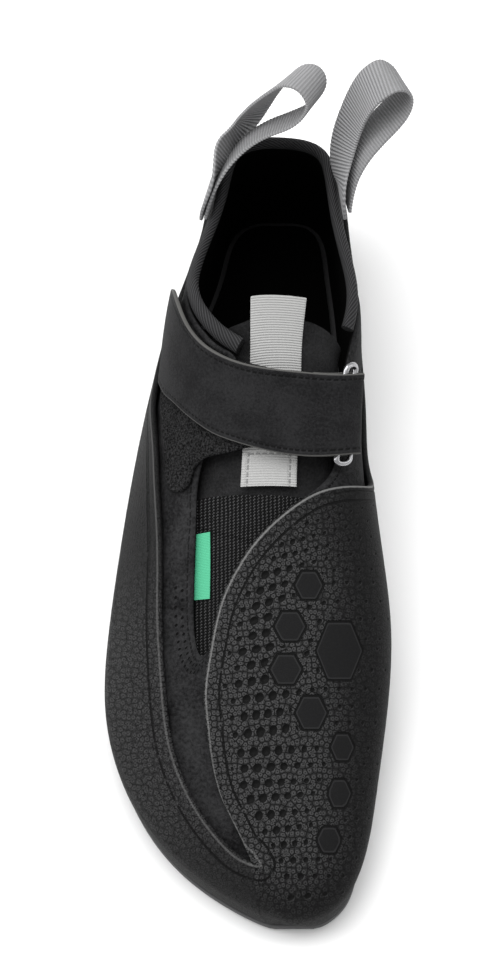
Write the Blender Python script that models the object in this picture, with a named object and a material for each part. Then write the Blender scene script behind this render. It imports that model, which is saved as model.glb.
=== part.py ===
"""A climbing shoe for the right foot, closed by one strap, standing empty on its sole.

Metres, +Z up. The toe points along -Y, the big-toe side is +X and the floor is z = 0.
The origin is on the floor, under the ball of the foot.

Every piece is worked out from the last, the solid form that a shoe is built round. The last is
given by cross-sections along its length, and a piece of the shoe is a sheet that lies on the last
at some distance from it, between a lower edge and an upper edge.
"""

import math

import bmesh
import bpy
import numpy as np

for old in list(bpy.data.objects):
    bpy.data.objects.remove(old, do_unlink=True)

# The last
LAST_LENGTH = 0.2476
BALL_WIDTH = 0.0806
INSTEP_HEIGHT = 0.076
BALL_STATION = 0.70

# Thicknesses of the stock
SOLE_THICKNESS = 0.0040
UPPER_WALL = 0.0020
RUBBER_WALL = 0.0020

# How the sole leaves the floor
ARCH_RISE = 0.008
TOE_SPRING = 0.0015

# Clearance between two pieces that touch in the real shoe
FIT = 0.0003
SEAT = 0.0004

LAST_COLUMNS = ("along", "outer", "inner", "belly", "crown", "drop", "lean", "fullness")
LAST_SECTIONS = (
    (0.00, 0.000, 0.000, 0.289, 0.289, 0.000, 0.000, 2.4),
    (0.02, -0.174, 0.174, 0.276, 0.697, 0.316, 0.000, 2.4),
    (0.04, -0.211, 0.203, 0.270, 0.895, 0.395, 0.000, 2.4),
    (0.06, -0.231, 0.215, 0.263, 1.158, 0.421, 0.012, 2.4),
    (0.10, -0.256, 0.226, 0.250, 1.342, 0.434, 0.025, 2.4),
    (0.15, -0.305, 0.243, 0.237, 1.395, 0.434, 0.037, 2.4),
    (0.25, -0.410, 0.263, 0.237, 1.329, 0.434, 0.087, 3.0),
    (0.35, -0.476, 0.274, 0.263, 1.013, 0.316, 0.130, 2.2),
    (0.45, -0.527, 0.266, 0.263, 0.816, 0.289, 0.174, 2.1),
    (0.55, -0.572, 0.288, 0.224, 0.671, 0.289, 0.211, 2.1),
    (0.65, -0.608, 0.318, 0.184, 0.546, 0.309, 0.230, 2.1),
    (0.75, -0.610, 0.313, 0.164, 0.434, 0.289, 0.211, 2.1),
    (0.85, -0.514, 0.290, 0.145, 0.336, 0.263, 0.155, 2.1),
    (0.92, -0.360, 0.266, 0.132, 0.270, 0.237, 0.099, 2.2),
    (0.97, -0.160, 0.221, 0.118, 0.204, 0.197, 0.037, 2.2),
    (1.00, 0.074, 0.074, 0.112, 0.112, 0.000, 0.000, 2.2),
)
LOWER_FULLNESS = 3.0
TINY = 1e-6

HEEL_Y = BALL_STATION * LAST_LENGTH


def turn_of(share):
    """A share of the length as an angle, in which a round end is a straight line."""
    return np.arccos(np.clip(1 - 2 * np.asarray(share, float), -1, 1))


def natural_spline(knots, values, at):
    """The smooth curve through values at knots, read at some places. Columns go side by side."""
    knots = np.asarray(knots, float)
    values = np.asarray(values, float)
    flat = values.ndim == 1
    if flat:
        values = values[:, None]
    count = len(knots)
    gaps = np.diff(knots)[:, None]
    slopes = np.diff(values, axis=0) / gaps
    matrix = np.eye(count)
    right = np.zeros_like(values)
    for i in range(1, count - 1):
        matrix[i, i - 1] = gaps[i - 1, 0]
        matrix[i, i] = 2 * (gaps[i - 1, 0] + gaps[i, 0])
        matrix[i, i + 1] = gaps[i, 0]
        right[i] = 6 * (slopes[i] - slopes[i - 1])
    bend = np.linalg.solve(matrix, right)
    at = np.clip(np.asarray(at, float), knots[0], knots[-1])
    span = np.clip(np.searchsorted(knots, at, side="right") - 1, 0, count - 2)
    gap = np.diff(knots)[span][:, None]
    before = ((at - knots[span])[:, None]) / gap
    after = 1 - before
    curve = (
        after * values[span]
        + before * values[span + 1]
        + gap**2 / 6 * ((after**3 - after) * bend[span] + (before**3 - before) * bend[span + 1])
    )
    return curve[:, 0] if flat else curve


SECTION_TABLE = np.array(LAST_SECTIONS)
SECTION_SCALE = np.array([BALL_WIDTH, BALL_WIDTH, INSTEP_HEIGHT, INSTEP_HEIGHT, INSTEP_HEIGHT, BALL_WIDTH, 1.0])


def section_at(y):
    """The last's section sizes at some places along its length, in metres, as named columns."""
    share = (HEEL_Y - np.asarray(y, float)) / LAST_LENGTH
    sizes = natural_spline(turn_of(SECTION_TABLE[:, 0]), SECTION_TABLE[:, 1:] * SECTION_SCALE, turn_of(share))
    found = dict(zip(LAST_COLUMNS[1:], sizes.T))
    found["share"] = share
    found["centre"] = (found["outer"] + found["inner"]) / 2
    found["half"] = np.maximum((found["inner"] - found["outer"]) / 2, TINY)
    found["belly"] = found["belly"] + SOLE_THICKNESS
    found["crown"] = found["crown"] + SOLE_THICKNESS
    found["rise"] = np.maximum(found["crown"] - found["belly"], TINY)
    found["drop"] = np.maximum(found["drop"], TINY)
    return found


def excess(points):
    """Below 0 inside the last and above 0 outside it."""
    size = section_at(points[:, 1])
    above = points[:, 2] > size["belly"]
    height = np.where(
        above,
        (points[:, 2] - size["belly"]) / size["rise"],
        (size["belly"] - points[:, 2]) / size["drop"],
    )
    centre = size["centre"] + size["lean"] * np.where(above, height, 0)
    across = np.abs(points[:, 0] - centre) / size["half"]
    power = np.where(above, size["fullness"], LOWER_FULLNESS)
    level = (across**power + height**power) ** (1 / power) - 1
    beyond = np.maximum(-size["share"], size["share"] - 1)
    return np.where(beyond > 0, 100 + beyond, level)


def outward(points):
    """The last's outward direction at points on it."""
    step = 2e-5
    slope = np.zeros_like(points)
    for axis in range(3):
        nudge = np.zeros(3)
        nudge[axis] = step
        slope[:, axis] = np.clip(excess(points + nudge), -1, 1) - np.clip(excess(points - nudge), -1, 1)
    return slope / np.maximum(np.linalg.norm(slope, axis=1), 1e-12)[:, None]


SPINE_REAR = 0.11
SPINE_FRONT = 0.90
SPINE_LIFT = 0.25


def spine(y):
    """A point inside the last, from which its surface is looked at."""
    rear = HEEL_Y - SPINE_REAR * LAST_LENGTH
    front = HEEL_Y - SPINE_FRONT * LAST_LENGTH
    y = np.clip(y, front, rear)
    size = section_at(y)
    lift = SPINE_LIFT
    return np.stack([size["centre"] + lift * size["lean"], y, size["belly"] + lift * size["rise"]], axis=1)


def unit(vectors):
    return vectors / np.maximum(np.linalg.norm(vectors, axis=-1, keepdims=True), 1e-12)


def cast(starts, ways):
    """Where lines from inside the last come out of it."""
    near = np.zeros(len(starts))
    far = np.full(len(starts), LAST_LENGTH)
    for _ in range(40):
        middle = (near + far) / 2
        inside = excess(starts + ways * middle[:, None]) < 0
        near = np.where(inside, middle, near)
        far = np.where(inside, far, middle)
    return starts + ways * near[:, None]


# The outline of the sole


def sole_lift(y):
    """How far the sole stands off the floor at some places along the last."""
    share = (HEEL_Y - np.asarray(y, float)) / LAST_LENGTH
    arch = np.clip((share - ARCH_FROM) / (ARCH_TO - ARCH_FROM), 0, 1)
    toe = np.clip((share - TOE_FROM) / (1 - TOE_FROM), 0, 1)
    return ARCH_RISE * np.sin(math.pi * arch) ** 2 + TOE_SPRING * toe**2


ARCH_FROM = 0.21
ARCH_TO = 0.58
TOE_FROM = 0.93


def foot_ends():
    """The shares of the length at which the last's surface meets the sole, at the heel and at the toe."""
    found = []
    for near, far in ((0.2, 0.0), (0.8, 1.0)):
        for _ in range(40):
            middle = (near + far) / 2
            size = section_at(np.array([HEEL_Y - middle * LAST_LENGTH]))
            if size["belly"][0] - size["drop"][0] < SOLE_THICKNESS:
                near = middle
            else:
                far = middle
        found.append(near)
    return found


FOOT_HEEL, FOOT_TOE = foot_ends()


def foot_points(places):
    """Where the last meets the sole. A place runs from 0 at the heel up the outer side to 1 at the toe and
    back along the inner side to 2."""
    places = np.asarray(places, float)
    turn = math.pi * np.clip(places, 0, 2)
    share = FOOT_HEEL + (FOOT_TOE - FOOT_HEEL) * (1 - np.cos(turn)) / 2
    y = HEEL_Y - share * LAST_LENGTH
    z = SOLE_THICKNESS + sole_lift(y) + SEAT
    size = section_at(y)
    depth = np.clip((size["belly"] - z) / size["drop"], 0, 1)
    reach = size["half"] * np.maximum(1 - depth**LOWER_FULLNESS, 0) ** (1 / LOWER_FULLNESS)
    return np.stack([size["centre"] + reach * np.where(places <= 1, -1, 1), y, z], axis=1)


def place_of(share, inner):
    """The place round the sole that lies at a share of the last's length."""
    along = np.clip((np.asarray(share, float) - FOOT_HEEL) / (FOOT_TOE - FOOT_HEEL), 0, 1)
    half = np.arccos(1 - 2 * along) / math.pi
    return np.where(inner, 2 - half, half)


# Sheets that lie on the last

EDGE_COLUMNS = ("across", "along", "up")
EDGE_SCALE = np.array([BALL_WIDTH, -LAST_LENGTH, INSTEP_HEIGHT])
EDGE_ORIGIN = np.array([0, HEEL_Y, SOLE_THICKNESS])


def in_metres(table):
    """Points from a table in shares of the ball width, the last's length and the instep height."""
    return EDGE_ORIGIN + np.array(table, float)[:, :3] * EDGE_SCALE


def aim(points):
    """The spine point and the direction from which each of these points is seen."""
    starts = spine(points[:, 1])
    return starts, unit(points - starts)


def blend(first, second, shares):
    """Aims between two lists of aims. The shares are a table with a row for each level and a column for each
    pair of aims."""
    shares = np.asarray(shares, float)[:, :, None]
    starts = first[0][None] + (second[0] - first[0])[None] * shares
    angle = np.arccos(np.clip((first[1] * second[1]).sum(axis=1), -1, 1))[None, :, None]
    whole = np.maximum(np.sin(angle), 1e-9)
    before = np.sin((1 - shares) * angle) / whole
    after = np.sin(shares * angle) / whole
    return starts, unit(before * first[1][None] + after * second[1][None])


def on_last(aims):
    """The last's surface and its outward direction along a table of aims."""
    starts, ways = aims
    shape = starts.shape
    points = cast(starts.reshape(-1, 3), ways.reshape(-1, 3))
    return points.reshape(shape), outward(points).reshape(shape)


def even_curve(points, weights, count, around=False):
    """A smooth curve through some points. The steps follow the weights, one for each gap between points."""
    points = np.asarray(points, float)
    knots = np.concatenate([[0], np.cumsum(weights)])
    if around:
        more = 4
        total = knots[-1]
        body = knots[:-1]
        wide = np.concatenate([body[-more:] - total, body, body[: more + 1] + total])
        rows = np.concatenate([points[-more:], points, points[: more + 1]])
        at = np.linspace(0, total, count, endpoint=False)
        return natural_spline(wide, rows, at), at / total
    at = np.linspace(0, knots[-1], count)
    return natural_spline(knots, points, at), at / knots[-1]


def gaps(points, around=False):
    """The distance from each point to the next."""
    after = np.roll(points, -1, axis=0) if around else points[1:]
    before = points if around else points[:-1]
    return np.linalg.norm(after - before, axis=1)


def edge(table, count):
    """An open edge: points evenly spaced along the smooth curve through a table."""
    points = in_metres(table)
    return even_curve(points, gaps(points), count)[0]


def rim_and_foot(table, count, narrowest=0.25):
    """A closed rim and the sole's outline below it, as two matching lists of points."""
    rim = in_metres(table)
    foot = np.array([float(place_of(row[3] if row[3] <= 1 else 2 - row[3], row[3] > 1)) for row in table])
    below = foot_points(foot)
    rows = np.concatenate([rim, foot[:, None]], axis=1)
    weights = np.maximum(gaps(rim, True), gaps(below, True))
    weights = np.maximum(weights, narrowest * weights.mean())
    total = weights.sum()
    knots = np.concatenate([[0], np.cumsum(weights)])
    at = np.linspace(0, total, count, endpoint=False)
    more = 4
    wide = np.concatenate([knots[:-1][-more:] - total, knots[:-1], knots[:-1][: more + 1] + total])
    points = natural_spline(wide, np.concatenate([rim[-more:], rim, rim[: more + 1]]), at)
    places = np.interp(at, knots, np.concatenate([foot, [2.0]]))
    return points, foot_points(places)


# Meshes


SHARP_ANGLE = math.radians(50)
MATERIAL_COLUMNS = ("red", "green", "blue", "roughness", "metallic")
MATERIALS = {
    "upper": (0.030, 0.030, 0.032, 0.80, 0.0),
    "rubber_rand": (0.032, 0.032, 0.034, 0.55, 0.0),
    "outsole": (0.022, 0.022, 0.023, 0.60, 0.0),
    "insole": (0.035, 0.034, 0.034, 0.90, 0.0),
    "collar_binding": (0.026, 0.026, 0.028, 0.75, 0.0),
    "tongue": (0.034, 0.034, 0.036, 0.80, 0.0),
    "gusset": (0.028, 0.028, 0.030, 0.85, 0.0),
    "label": (0.100, 0.580, 0.300, 0.60, 0.0),
    "tongue_tab": (0.580, 0.580, 0.570, 0.75, 0.0),
    "strap_base": (0.012, 0.012, 0.013, 0.95, 0.0),
    "strap": (0.028, 0.028, 0.031, 0.62, 0.0),
    "ring": (0.720, 0.720, 0.720, 0.25, 1.0),
    "pull_loop_outer": (0.190, 0.190, 0.195, 0.80, 0.0),
    "pull_loop_inner": (0.190, 0.190, 0.195, 0.80, 0.0),
}


def painted(name):
    """The piece's own material."""
    look = dict(zip(MATERIAL_COLUMNS, MATERIALS[name]))
    material = bpy.data.materials.new(name)
    material.use_nodes = True
    shader = material.node_tree.nodes["Principled BSDF"]
    shader.inputs["Base Color"].default_value = (look["red"], look["green"], look["blue"], 1)
    shader.inputs["Roughness"].default_value = look["roughness"]
    shader.inputs["Metallic"].default_value = look["metallic"]
    return material


def finished(name, bm):
    """Turns a bmesh into a named object whose faces point out, with its own material."""
    bmesh.ops.remove_doubles(bm, verts=bm.verts, dist=1e-7)
    bmesh.ops.recalc_face_normals(bm, faces=bm.faces)
    if bm.calc_volume(signed=True) < 0:
        bmesh.ops.reverse_faces(bm, faces=bm.faces)
    mesh = bpy.data.meshes.new(name)
    bm.to_mesh(mesh)
    bm.free()
    mesh.shade_smooth()
    mesh.set_sharp_from_angle(angle=SHARP_ANGLE)
    mesh.materials.append(painted(name))
    obj = bpy.data.objects.new(name, mesh)
    bpy.context.scene.collection.objects.link(obj)
    return obj


def split_quads(bm):
    """Cuts every four-sided face along the diagonal that stands further out from the last's middle."""
    quads = [face for face in bm.faces if len(face.verts) == 4]
    if not quads:
        return
    corners = np.array([[tuple(vert.co) for vert in face.verts] for face in quads])
    first = (corners[:, 0] + corners[:, 2]) / 2
    second = (corners[:, 1] + corners[:, 3]) / 2
    out_first = np.linalg.norm(first - spine(first[:, 1]), axis=1)
    out_second = np.linalg.norm(second - spine(second[:, 1]), axis=1)
    for face, start in zip(quads, (out_first < out_second).astype(int)):
        bmesh.utils.face_split(face, face.verts[start], face.verts[start + 2])


def skin(name, table, around):
    """A closed body from a table of points. Each row is one ring about the body's stock, and the rings follow
    one another along it: round to the first again, or open, with a cap on each end."""
    rings, each = table.shape[:2]
    table = np.concatenate([table, table[:, :1]], axis=1)
    if around:
        table = np.concatenate([table, table[:1]], axis=0)
    bm = bmesh.new()
    bmesh.ops.create_grid(bm, x_segments=table.shape[0] - 1, y_segments=each, size=1)
    for vert in bm.verts:
        i = round((vert.co.x + 1) / 2 * (table.shape[0] - 1))
        j = round((vert.co.y + 1) / 2 * each)
        vert.co = table[i, j]
    bmesh.ops.remove_doubles(bm, verts=bm.verts, dist=1e-7)
    if not around:
        bmesh.ops.holes_fill(bm, edges=[e for e in bm.edges if e.is_boundary], sides=0)
    split_quads(bm)
    return finished(name, bm)


BEND_WEIGHT = 0.006


def levels_between(lower, upper, step):
    """Shares of the way from the lower edge to the upper one, at steps of about one length and closer together
    where the last bends. A short column stays at its end for the rest of the rows."""
    trial = np.linspace(0, 1, 33)
    points, ways = on_last(blend(aim(lower), aim(upper), np.repeat(trial[:, None], len(lower), axis=1)))
    pieces = np.linalg.norm(np.diff(points, axis=0), axis=2)
    pieces = pieces + BEND_WEIGHT * np.linalg.norm(np.diff(ways, axis=0), axis=2)
    reach = np.concatenate([np.zeros((1, len(lower))), np.cumsum(pieces, axis=0)])
    steps = np.maximum(np.round(reach[-1] / step), 1)
    rows = np.arange(int(steps.max()) + 1)
    want = np.minimum(rows[:, None] / steps[None], 1) * reach[-1]
    return np.stack([np.interp(want[:, i], reach[:, i], trial) for i in range(len(lower))], axis=1)


def sheet_on_last(name, lower, upper, near, far, step, around=False, floor=False):
    """A body between two matching edges on the last, from a near distance off the last to a far one."""
    shares = levels_between(lower, upper, step)
    points, ways = on_last(blend(aim(lower), aim(upper), shares))
    faces = []
    for distance in (near, far):
        face = points + ways * np.broadcast_to(distance, (len(lower),))[None, :, None]
        if floor:
            face[0, :, 2] = SOLE_THICKNESS + sole_lift(face[0, :, 1]) + SEAT
        faces.append(face)
    table = np.concatenate([faces[1], faces[0][::-1]], axis=0)
    return skin(name, table.transpose(1, 0, 2), around)


# The upper: a wall round the foot, open at the collar and throat, and underneath

UPPER_STEP = 0.0090
UPPER_RIM_COLUMNS = ("across", "along", "up", "foot")
UPPER_RIM = (
    (0.000, 0.033, 0.816, 0.000),
    (-0.112, 0.042, 0.809, 0.030),
    (-0.192, 0.066, 0.789, 0.065),
    (-0.236, 0.120, 0.757, 0.120),
    (-0.288, 0.180, 0.757, 0.180),
    (-0.323, 0.247, 0.803, 0.235),
    (-0.333, 0.270, 0.855, 0.265),
    (-0.314, 0.296, 0.888, 0.290),
    (-0.279, 0.319, 0.914, 0.310),
    (-0.223, 0.341, 0.939, 0.330),
    (-0.164, 0.358, 0.958, 0.350),
    (-0.186, 0.384, 0.908, 0.380),
    (-0.254, 0.431, 0.789, 0.420),
    (-0.310, 0.468, 0.671, 0.460),
    (-0.335, 0.525, 0.586, 0.520),
    (-0.347, 0.605, 0.500, 0.610),
    (-0.347, 0.670, 0.447, 0.720),
    (-0.319, 0.699, 0.441, 0.840),
    (-0.275, 0.685, 0.471, 0.920),
    (-0.242, 0.655, 0.513, 0.970),
    (-0.212, 0.630, 0.549, 1.000),
    (-0.150, 0.597, 0.608, 1.040),
    (-0.078, 0.569, 0.666, 1.100),
    (-0.007, 0.549, 0.709, 1.180),
    (0.084, 0.528, 0.741, 1.280),
    (0.165, 0.511, 0.750, 1.370),
    (0.220, 0.485, 0.743, 1.460),
    (0.239, 0.446, 0.770, 1.540),
    (0.252, 0.397, 0.816, 1.600),
    (0.268, 0.353, 0.855, 1.655),
    (0.283, 0.315, 0.875, 1.700),
    (0.288, 0.260, 0.855, 1.745),
    (0.275, 0.200, 0.796, 1.800),
    (0.239, 0.140, 0.763, 1.860),
    (0.205, 0.088, 0.783, 1.915),
    (0.161, 0.056, 0.803, 1.950),
    (0.093, 0.038, 0.813, 1.980),
)


def make_upper():
    rim, foot = rim_and_foot(UPPER_RIM, 72)
    return sheet_on_last("upper", foot, rim, 0.0, UPPER_WALL, UPPER_STEP, around=True, floor=True)


# The rubber: a band round the sole that runs up over the toe as a patch

RUBBER_GAP = 0.00090
RUBBER_STEP = 0.0056
RUBBER_RIM = (
    (0.000, 0.008, 0.500, 0.000),
    (-0.143, 0.020, 0.474, 0.025),
    (-0.254, 0.070, 0.434, 0.070),
    (-0.323, 0.140, 0.395, 0.140),
    (-0.397, 0.220, 0.368, 0.220),
    (-0.447, 0.300, 0.362, 0.300),
    (-0.467, 0.345, 0.395, 0.345),
    (-0.471, 0.372, 0.434, 0.380),
    (-0.468, 0.408, 0.474, 0.410),
    (-0.459, 0.468, 0.487, 0.465),
    (-0.453, 0.562, 0.446, 0.560),
    (-0.460, 0.637, 0.395, 0.630),
    (-0.455, 0.713, 0.355, 0.700),
    (-0.447, 0.764, 0.325, 0.760),
    (-0.422, 0.819, 0.292, 0.820),
    (-0.354, 0.879, 0.268, 0.880),
    (-0.274, 0.917, 0.255, 0.920),
    (-0.196, 0.945, 0.243, 0.950),
    (-0.119, 0.961, 0.238, 0.975),
    (-0.062, 0.963, 0.245, 0.990),
    (-0.093, 0.950, 0.258, 1.000),
    (-0.150, 0.932, 0.272, 1.010),
    (-0.199, 0.902, 0.296, 1.030),
    (-0.243, 0.873, 0.312, 1.050),
    (-0.275, 0.833, 0.339, 1.070),
    (-0.294, 0.791, 0.372, 1.100),
    (-0.299, 0.742, 0.412, 1.130),
    (-0.275, 0.700, 0.457, 1.170),
    (-0.212, 0.630, 0.549, 1.230),
    (-0.150, 0.597, 0.608, 1.270),
    (-0.078, 0.569, 0.666, 1.320),
    (-0.007, 0.549, 0.709, 1.360),
    (0.084, 0.528, 0.741, 1.400),
    (0.165, 0.513, 0.745, 1.430),
    (0.243, 0.504, 0.711, 1.460),
    (0.310, 0.493, 0.613, 1.490),
    (0.339, 0.473, 0.526, 1.520),
    (0.335, 0.440, 0.447, 1.555),
    (0.320, 0.390, 0.401, 1.610),
    (0.304, 0.330, 0.375, 1.670),
    (0.285, 0.250, 0.368, 1.750),
    (0.261, 0.170, 0.395, 1.830),
    (0.217, 0.090, 0.434, 1.910),
    (0.136, 0.030, 0.480, 1.970),
)


def make_rubber():
    rim, foot = rim_and_foot(RUBBER_RIM, 106)
    near = UPPER_WALL + RUBBER_GAP
    return sheet_on_last("rubber_rand", foot, rim, near, near + RUBBER_WALL, RUBBER_STEP, around=True, floor=True)


# The sole and the board on it

SOLE_MARGIN = 0.0003
SOLE_EDGE = 0.0008
INSOLE_THICKNESS = 0.0020
INSOLE_INSET = 0.0016


def foot_outline(outset, count):
    """The outline of the foot in plan, moved out by some distance."""
    points = foot_points(np.linspace(0, 2, count, endpoint=False))[:, :2]
    ahead = np.roll(points, -1, axis=0) - np.roll(points, 1, axis=0)
    side = unit(np.stack([ahead[:, 1], -ahead[:, 0]], axis=1))
    return points + side * outset


def plate(name, outline, lower, thickness, chamfer):
    """A plate with a plan outline, its lower edge chamfered, lying along the lift of the sole."""
    count = len(outline)
    bm = bmesh.new()
    bmesh.ops.create_circle(bm, cap_ends=True, segments=count, radius=1)
    middle = outline.mean(axis=0)
    for i, vert in enumerate(bm.verts):
        vert.co = (*outline[i], 0)
    flat = bm.faces[:]
    levels = ((chamfer, chamfer), (thickness, 0.0)) if chamfer else ((thickness, 0.0),)
    for height, _ in levels:
        made = bmesh.ops.extrude_face_region(bm, geom=flat)["geom"]
        top = [item for item in made if isinstance(item, bmesh.types.BMVert)]
        for vert in top:
            vert.co.z = height
        bmesh.ops.delete(bm, geom=[f for f in flat if height != levels[0][0]], context="FACES_ONLY")
        flat = [item for item in made if isinstance(item, bmesh.types.BMFace)]
    if chamfer:
        ahead = np.roll(outline, -1, axis=0) - np.roll(outline, 1, axis=0)
        side = unit(np.stack([ahead[:, 1], -ahead[:, 0]], axis=1))
        inner = outline - side * chamfer
        for vert in [v for v in bm.verts if abs(v.co.z) < TINY]:
            i = int(np.argmin(np.hypot(*(outline - np.array(vert.co.xy)).T)))
            vert.co = (*inner[i], 0)
    lows, highs = outline[:, 1].min(), outline[:, 1].max()
    for y in np.arange(lows + 0.006, highs - 0.004, 0.0075):
        everything = bm.verts[:] + bm.edges[:] + bm.faces[:]
        bmesh.ops.bisect_plane(bm, geom=everything, dist=1e-6, plane_co=(0, y, 0), plane_no=(0, 1, 0))
    for vert in bm.verts:
        vert.co.z += lower + float(sole_lift(np.array([vert.co.y]))[0])
    return finished(name, bm)


def make_sole():
    outset = UPPER_WALL + RUBBER_GAP + RUBBER_WALL + SOLE_MARGIN
    plate("outsole", foot_outline(outset, 64), 0.0, SOLE_THICKNESS, SOLE_EDGE)
    plate("insole", foot_outline(-INSOLE_INSET, 56), SOLE_THICKNESS + SEAT, INSOLE_THICKNESS, 0.0)


# The padded binding on the collar

BINDING_WIDTH = 0.0056
BINDING_HALF = 0.0018
BINDING_RAISE = -0.0012
BINDING_GAP = 0.0006
BINDING_ROWS = (30, 10)


def make_binding():
    rim, _ = rim_and_foot(UPPER_RIM, 480)
    marks = in_metres(UPPER_RIM)
    first, last = (int(np.argmin(np.linalg.norm(rim - marks[row], axis=1))) for row in BINDING_ROWS)
    path = np.concatenate([rim[first:], rim[: last + 1]])
    along = np.concatenate([[0], np.cumsum(gaps(path))])
    path = natural_spline(along[::6], path[::6], np.linspace(0, along[::6][-1], 46))
    starts, ways = aim(path)
    points, out = on_last((starts[None], ways[None]))
    points, out = points[0], out[0]
    ahead = unit(np.gradient(points, axis=0))
    away = unit(np.cross(out, ahead))
    lower = points + away * BINDING_GAP
    upper = points + away * (BINDING_GAP + BINDING_WIDTH)
    turns = np.arange(8) * math.pi / 4
    shares = 0.5 - 0.5 * np.cos(turns)
    levels = UPPER_WALL / 2 + BINDING_RAISE + BINDING_HALF * np.sin(turns)
    rows = np.repeat(shares[:, None], len(path), axis=1)
    base, ways = on_last(blend(aim(lower), aim(upper), rows))
    skin("collar_binding", (base + ways * levels[:, None, None]).transpose(1, 0, 2), False)


# The tongue, the gusset below it, and the flat pieces sewn to them

TONGUE_OUTER = (
    (-0.298, 0.326, 0.876),
    (-0.323, 0.366, 0.789),
    (-0.347, 0.431, 0.684),
    (-0.366, 0.498, 0.572),
    (-0.347, 0.557, 0.526),
)
TONGUE_INNER = (
    (0.279, 0.335, 0.806),
    (0.279, 0.370, 0.784),
    (0.279, 0.431, 0.711),
    (0.254, 0.500, 0.658),
    (0.161, 0.560, 0.671),
)
TONGUE_THICKNESS = 0.0026
GUSSET_OUTER = (
    (-0.372, 0.503, 0.559),
    (-0.385, 0.556, 0.507),
    (-0.391, 0.605, 0.461),
    (-0.388, 0.654, 0.421),
    (-0.366, 0.693, 0.395),
    (-0.329, 0.718, 0.395),
)
GUSSET_INNER = (
    (0.199, 0.524, 0.724),
    (0.087, 0.559, 0.697),
    (-0.012, 0.583, 0.658),
    (-0.105, 0.620, 0.592),
    (-0.180, 0.664, 0.513),
    (-0.254, 0.707, 0.434),
)
GUSSET_THICKNESS = 0.00095
TAB_OUTER = (
    (-0.110, 0.307, 1.132),
    (-0.117, 0.349, 1.039),
    (-0.120, 0.385, 0.934),
    (-0.133, 0.443, 0.796),
    (-0.146, 0.504, 0.698),
)
TAB_INNER = (
    (0.113, 0.310, 1.132),
    (0.108, 0.350, 1.046),
    (0.099, 0.385, 0.941),
    (0.082, 0.444, 0.829),
    (0.073, 0.509, 0.731),
)
TAB_THICKNESS = 0.0011
TAB_MESH_STEP = 0.0050
TAB_STEP = (0.70, 0.80)
LABEL_OUTER = (
    (-0.376, 0.547, 0.526),
    (-0.382, 0.586, 0.487),
    (-0.382, 0.627, 0.447),
)
LABEL_INNER = (
    (-0.278, 0.549, 0.583),
    (-0.277, 0.587, 0.543),
    (-0.277, 0.630, 0.497),
)
LABEL_THICKNESS = 0.0004
LABEL_STEP = 0.0045
GUSSET_STEP = 0.0075
TONGUE_STEP = 0.0105


def make_throat():
    label = -SEAT
    gusset = label - LABEL_THICKNESS - FIT
    tongue = gusset - GUSSET_THICKNESS - FIT
    layers = (
        ("label", LABEL_OUTER, LABEL_INNER, 5, label, LABEL_THICKNESS, LABEL_STEP),
        ("gusset", GUSSET_OUTER, GUSSET_INNER, 12, gusset, GUSSET_THICKNESS, GUSSET_STEP),
        ("tongue", TONGUE_OUTER, TONGUE_INNER, 13, tongue, TONGUE_THICKNESS, TONGUE_STEP),
    )
    for name, outer, inner, count, top, thickness, step in layers:
        sheet_on_last(name, edge(outer, count), edge(inner, count), top - thickness, top, step)
    along = np.linspace(0, 1, 13)
    rise = np.clip((along - TAB_STEP[0]) / (TAB_STEP[1] - TAB_STEP[0]), 0, 1)
    near = tongue + SEAT + (gusset - tongue) * rise
    sheet_on_last("tongue_tab", edge(TAB_OUTER, 13), edge(TAB_INNER, 13), near, near + TAB_THICKNESS, TAB_MESH_STEP)


# The closure: a lined base, and a strap that folds round a wire ring and comes back over it

BASE_UPPER = (
    (-0.462, 0.283, 0.579),
    (-0.442, 0.262, 0.684),
    (-0.397, 0.250, 0.783),
    (-0.364, 0.262, 0.829),
    (-0.342, 0.288, 0.859),
    (-0.308, 0.313, 0.889),
    (-0.242, 0.338, 0.918),
    (-0.161, 0.357, 0.938),
    (-0.062, 0.370, 0.961),
    (0.030, 0.378, 0.968),
    (0.092, 0.380, 0.953),
)
BASE_LOWER = (
    (-0.476, 0.325, 0.507),
    (-0.475, 0.362, 0.507),
    (-0.471, 0.404, 0.526),
    (-0.462, 0.452, 0.539),
    (-0.449, 0.482, 0.539),
    (-0.403, 0.493, 0.579),
    (-0.360, 0.488, 0.625),
    (-0.335, 0.472, 0.664),
    (-0.292, 0.463, 0.717),
    (-0.211, 0.463, 0.770),
    (-0.136, 0.462, 0.803),
    (-0.037, 0.460, 0.822),
    (0.040, 0.461, 0.822),
    (0.092, 0.461, 0.817),
)
BASE_THICKNESS = 0.0012
BASE_STEP = 0.0080
STRAP_UPPER = (
    (-0.407, 0.238, 0.789),
    (-0.375, 0.256, 0.882),
    (-0.350, 0.280, 0.934),
    (-0.325, 0.304, 0.950),
    (-0.280, 0.328, 0.970),
    (-0.222, 0.345, 0.992),
    (-0.107, 0.365, 1.022),
    (0.084, 0.377, 1.016),
    (0.199, 0.375, 0.963),
    (0.261, 0.367, 0.901),
    (0.309, 0.357, 0.830),
)
STRAP_LOWER = (
    (-0.469, 0.338, 0.566),
    (-0.442, 0.361, 0.618),
    (-0.402, 0.379, 0.671),
    (-0.355, 0.401, 0.724),
    (-0.305, 0.421, 0.774),
    (-0.242, 0.438, 0.809),
    (-0.172, 0.450, 0.836),
    (-0.073, 0.462, 0.861),
    (0.084, 0.473, 0.858),
    (0.200, 0.473, 0.822),
    (0.261, 0.468, 0.776),
    (0.309, 0.461, 0.714),
)
STRAP_THICKNESS = 0.0014
STRAP_GAP = 0.0007
RING_WIRE = 0.0019
RING_GAUGE = 0.0036
RING_BEYOND = 0.0026
RING_FROM_END = 0.0046
RING_CORNER = 0.0017
UNDER_LAYER = 0.0120
SETTLE_FROM = 0.0020
SETTLE_ALONG = (0.0040, 0.0090, 0.0130, 0.0180)
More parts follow.
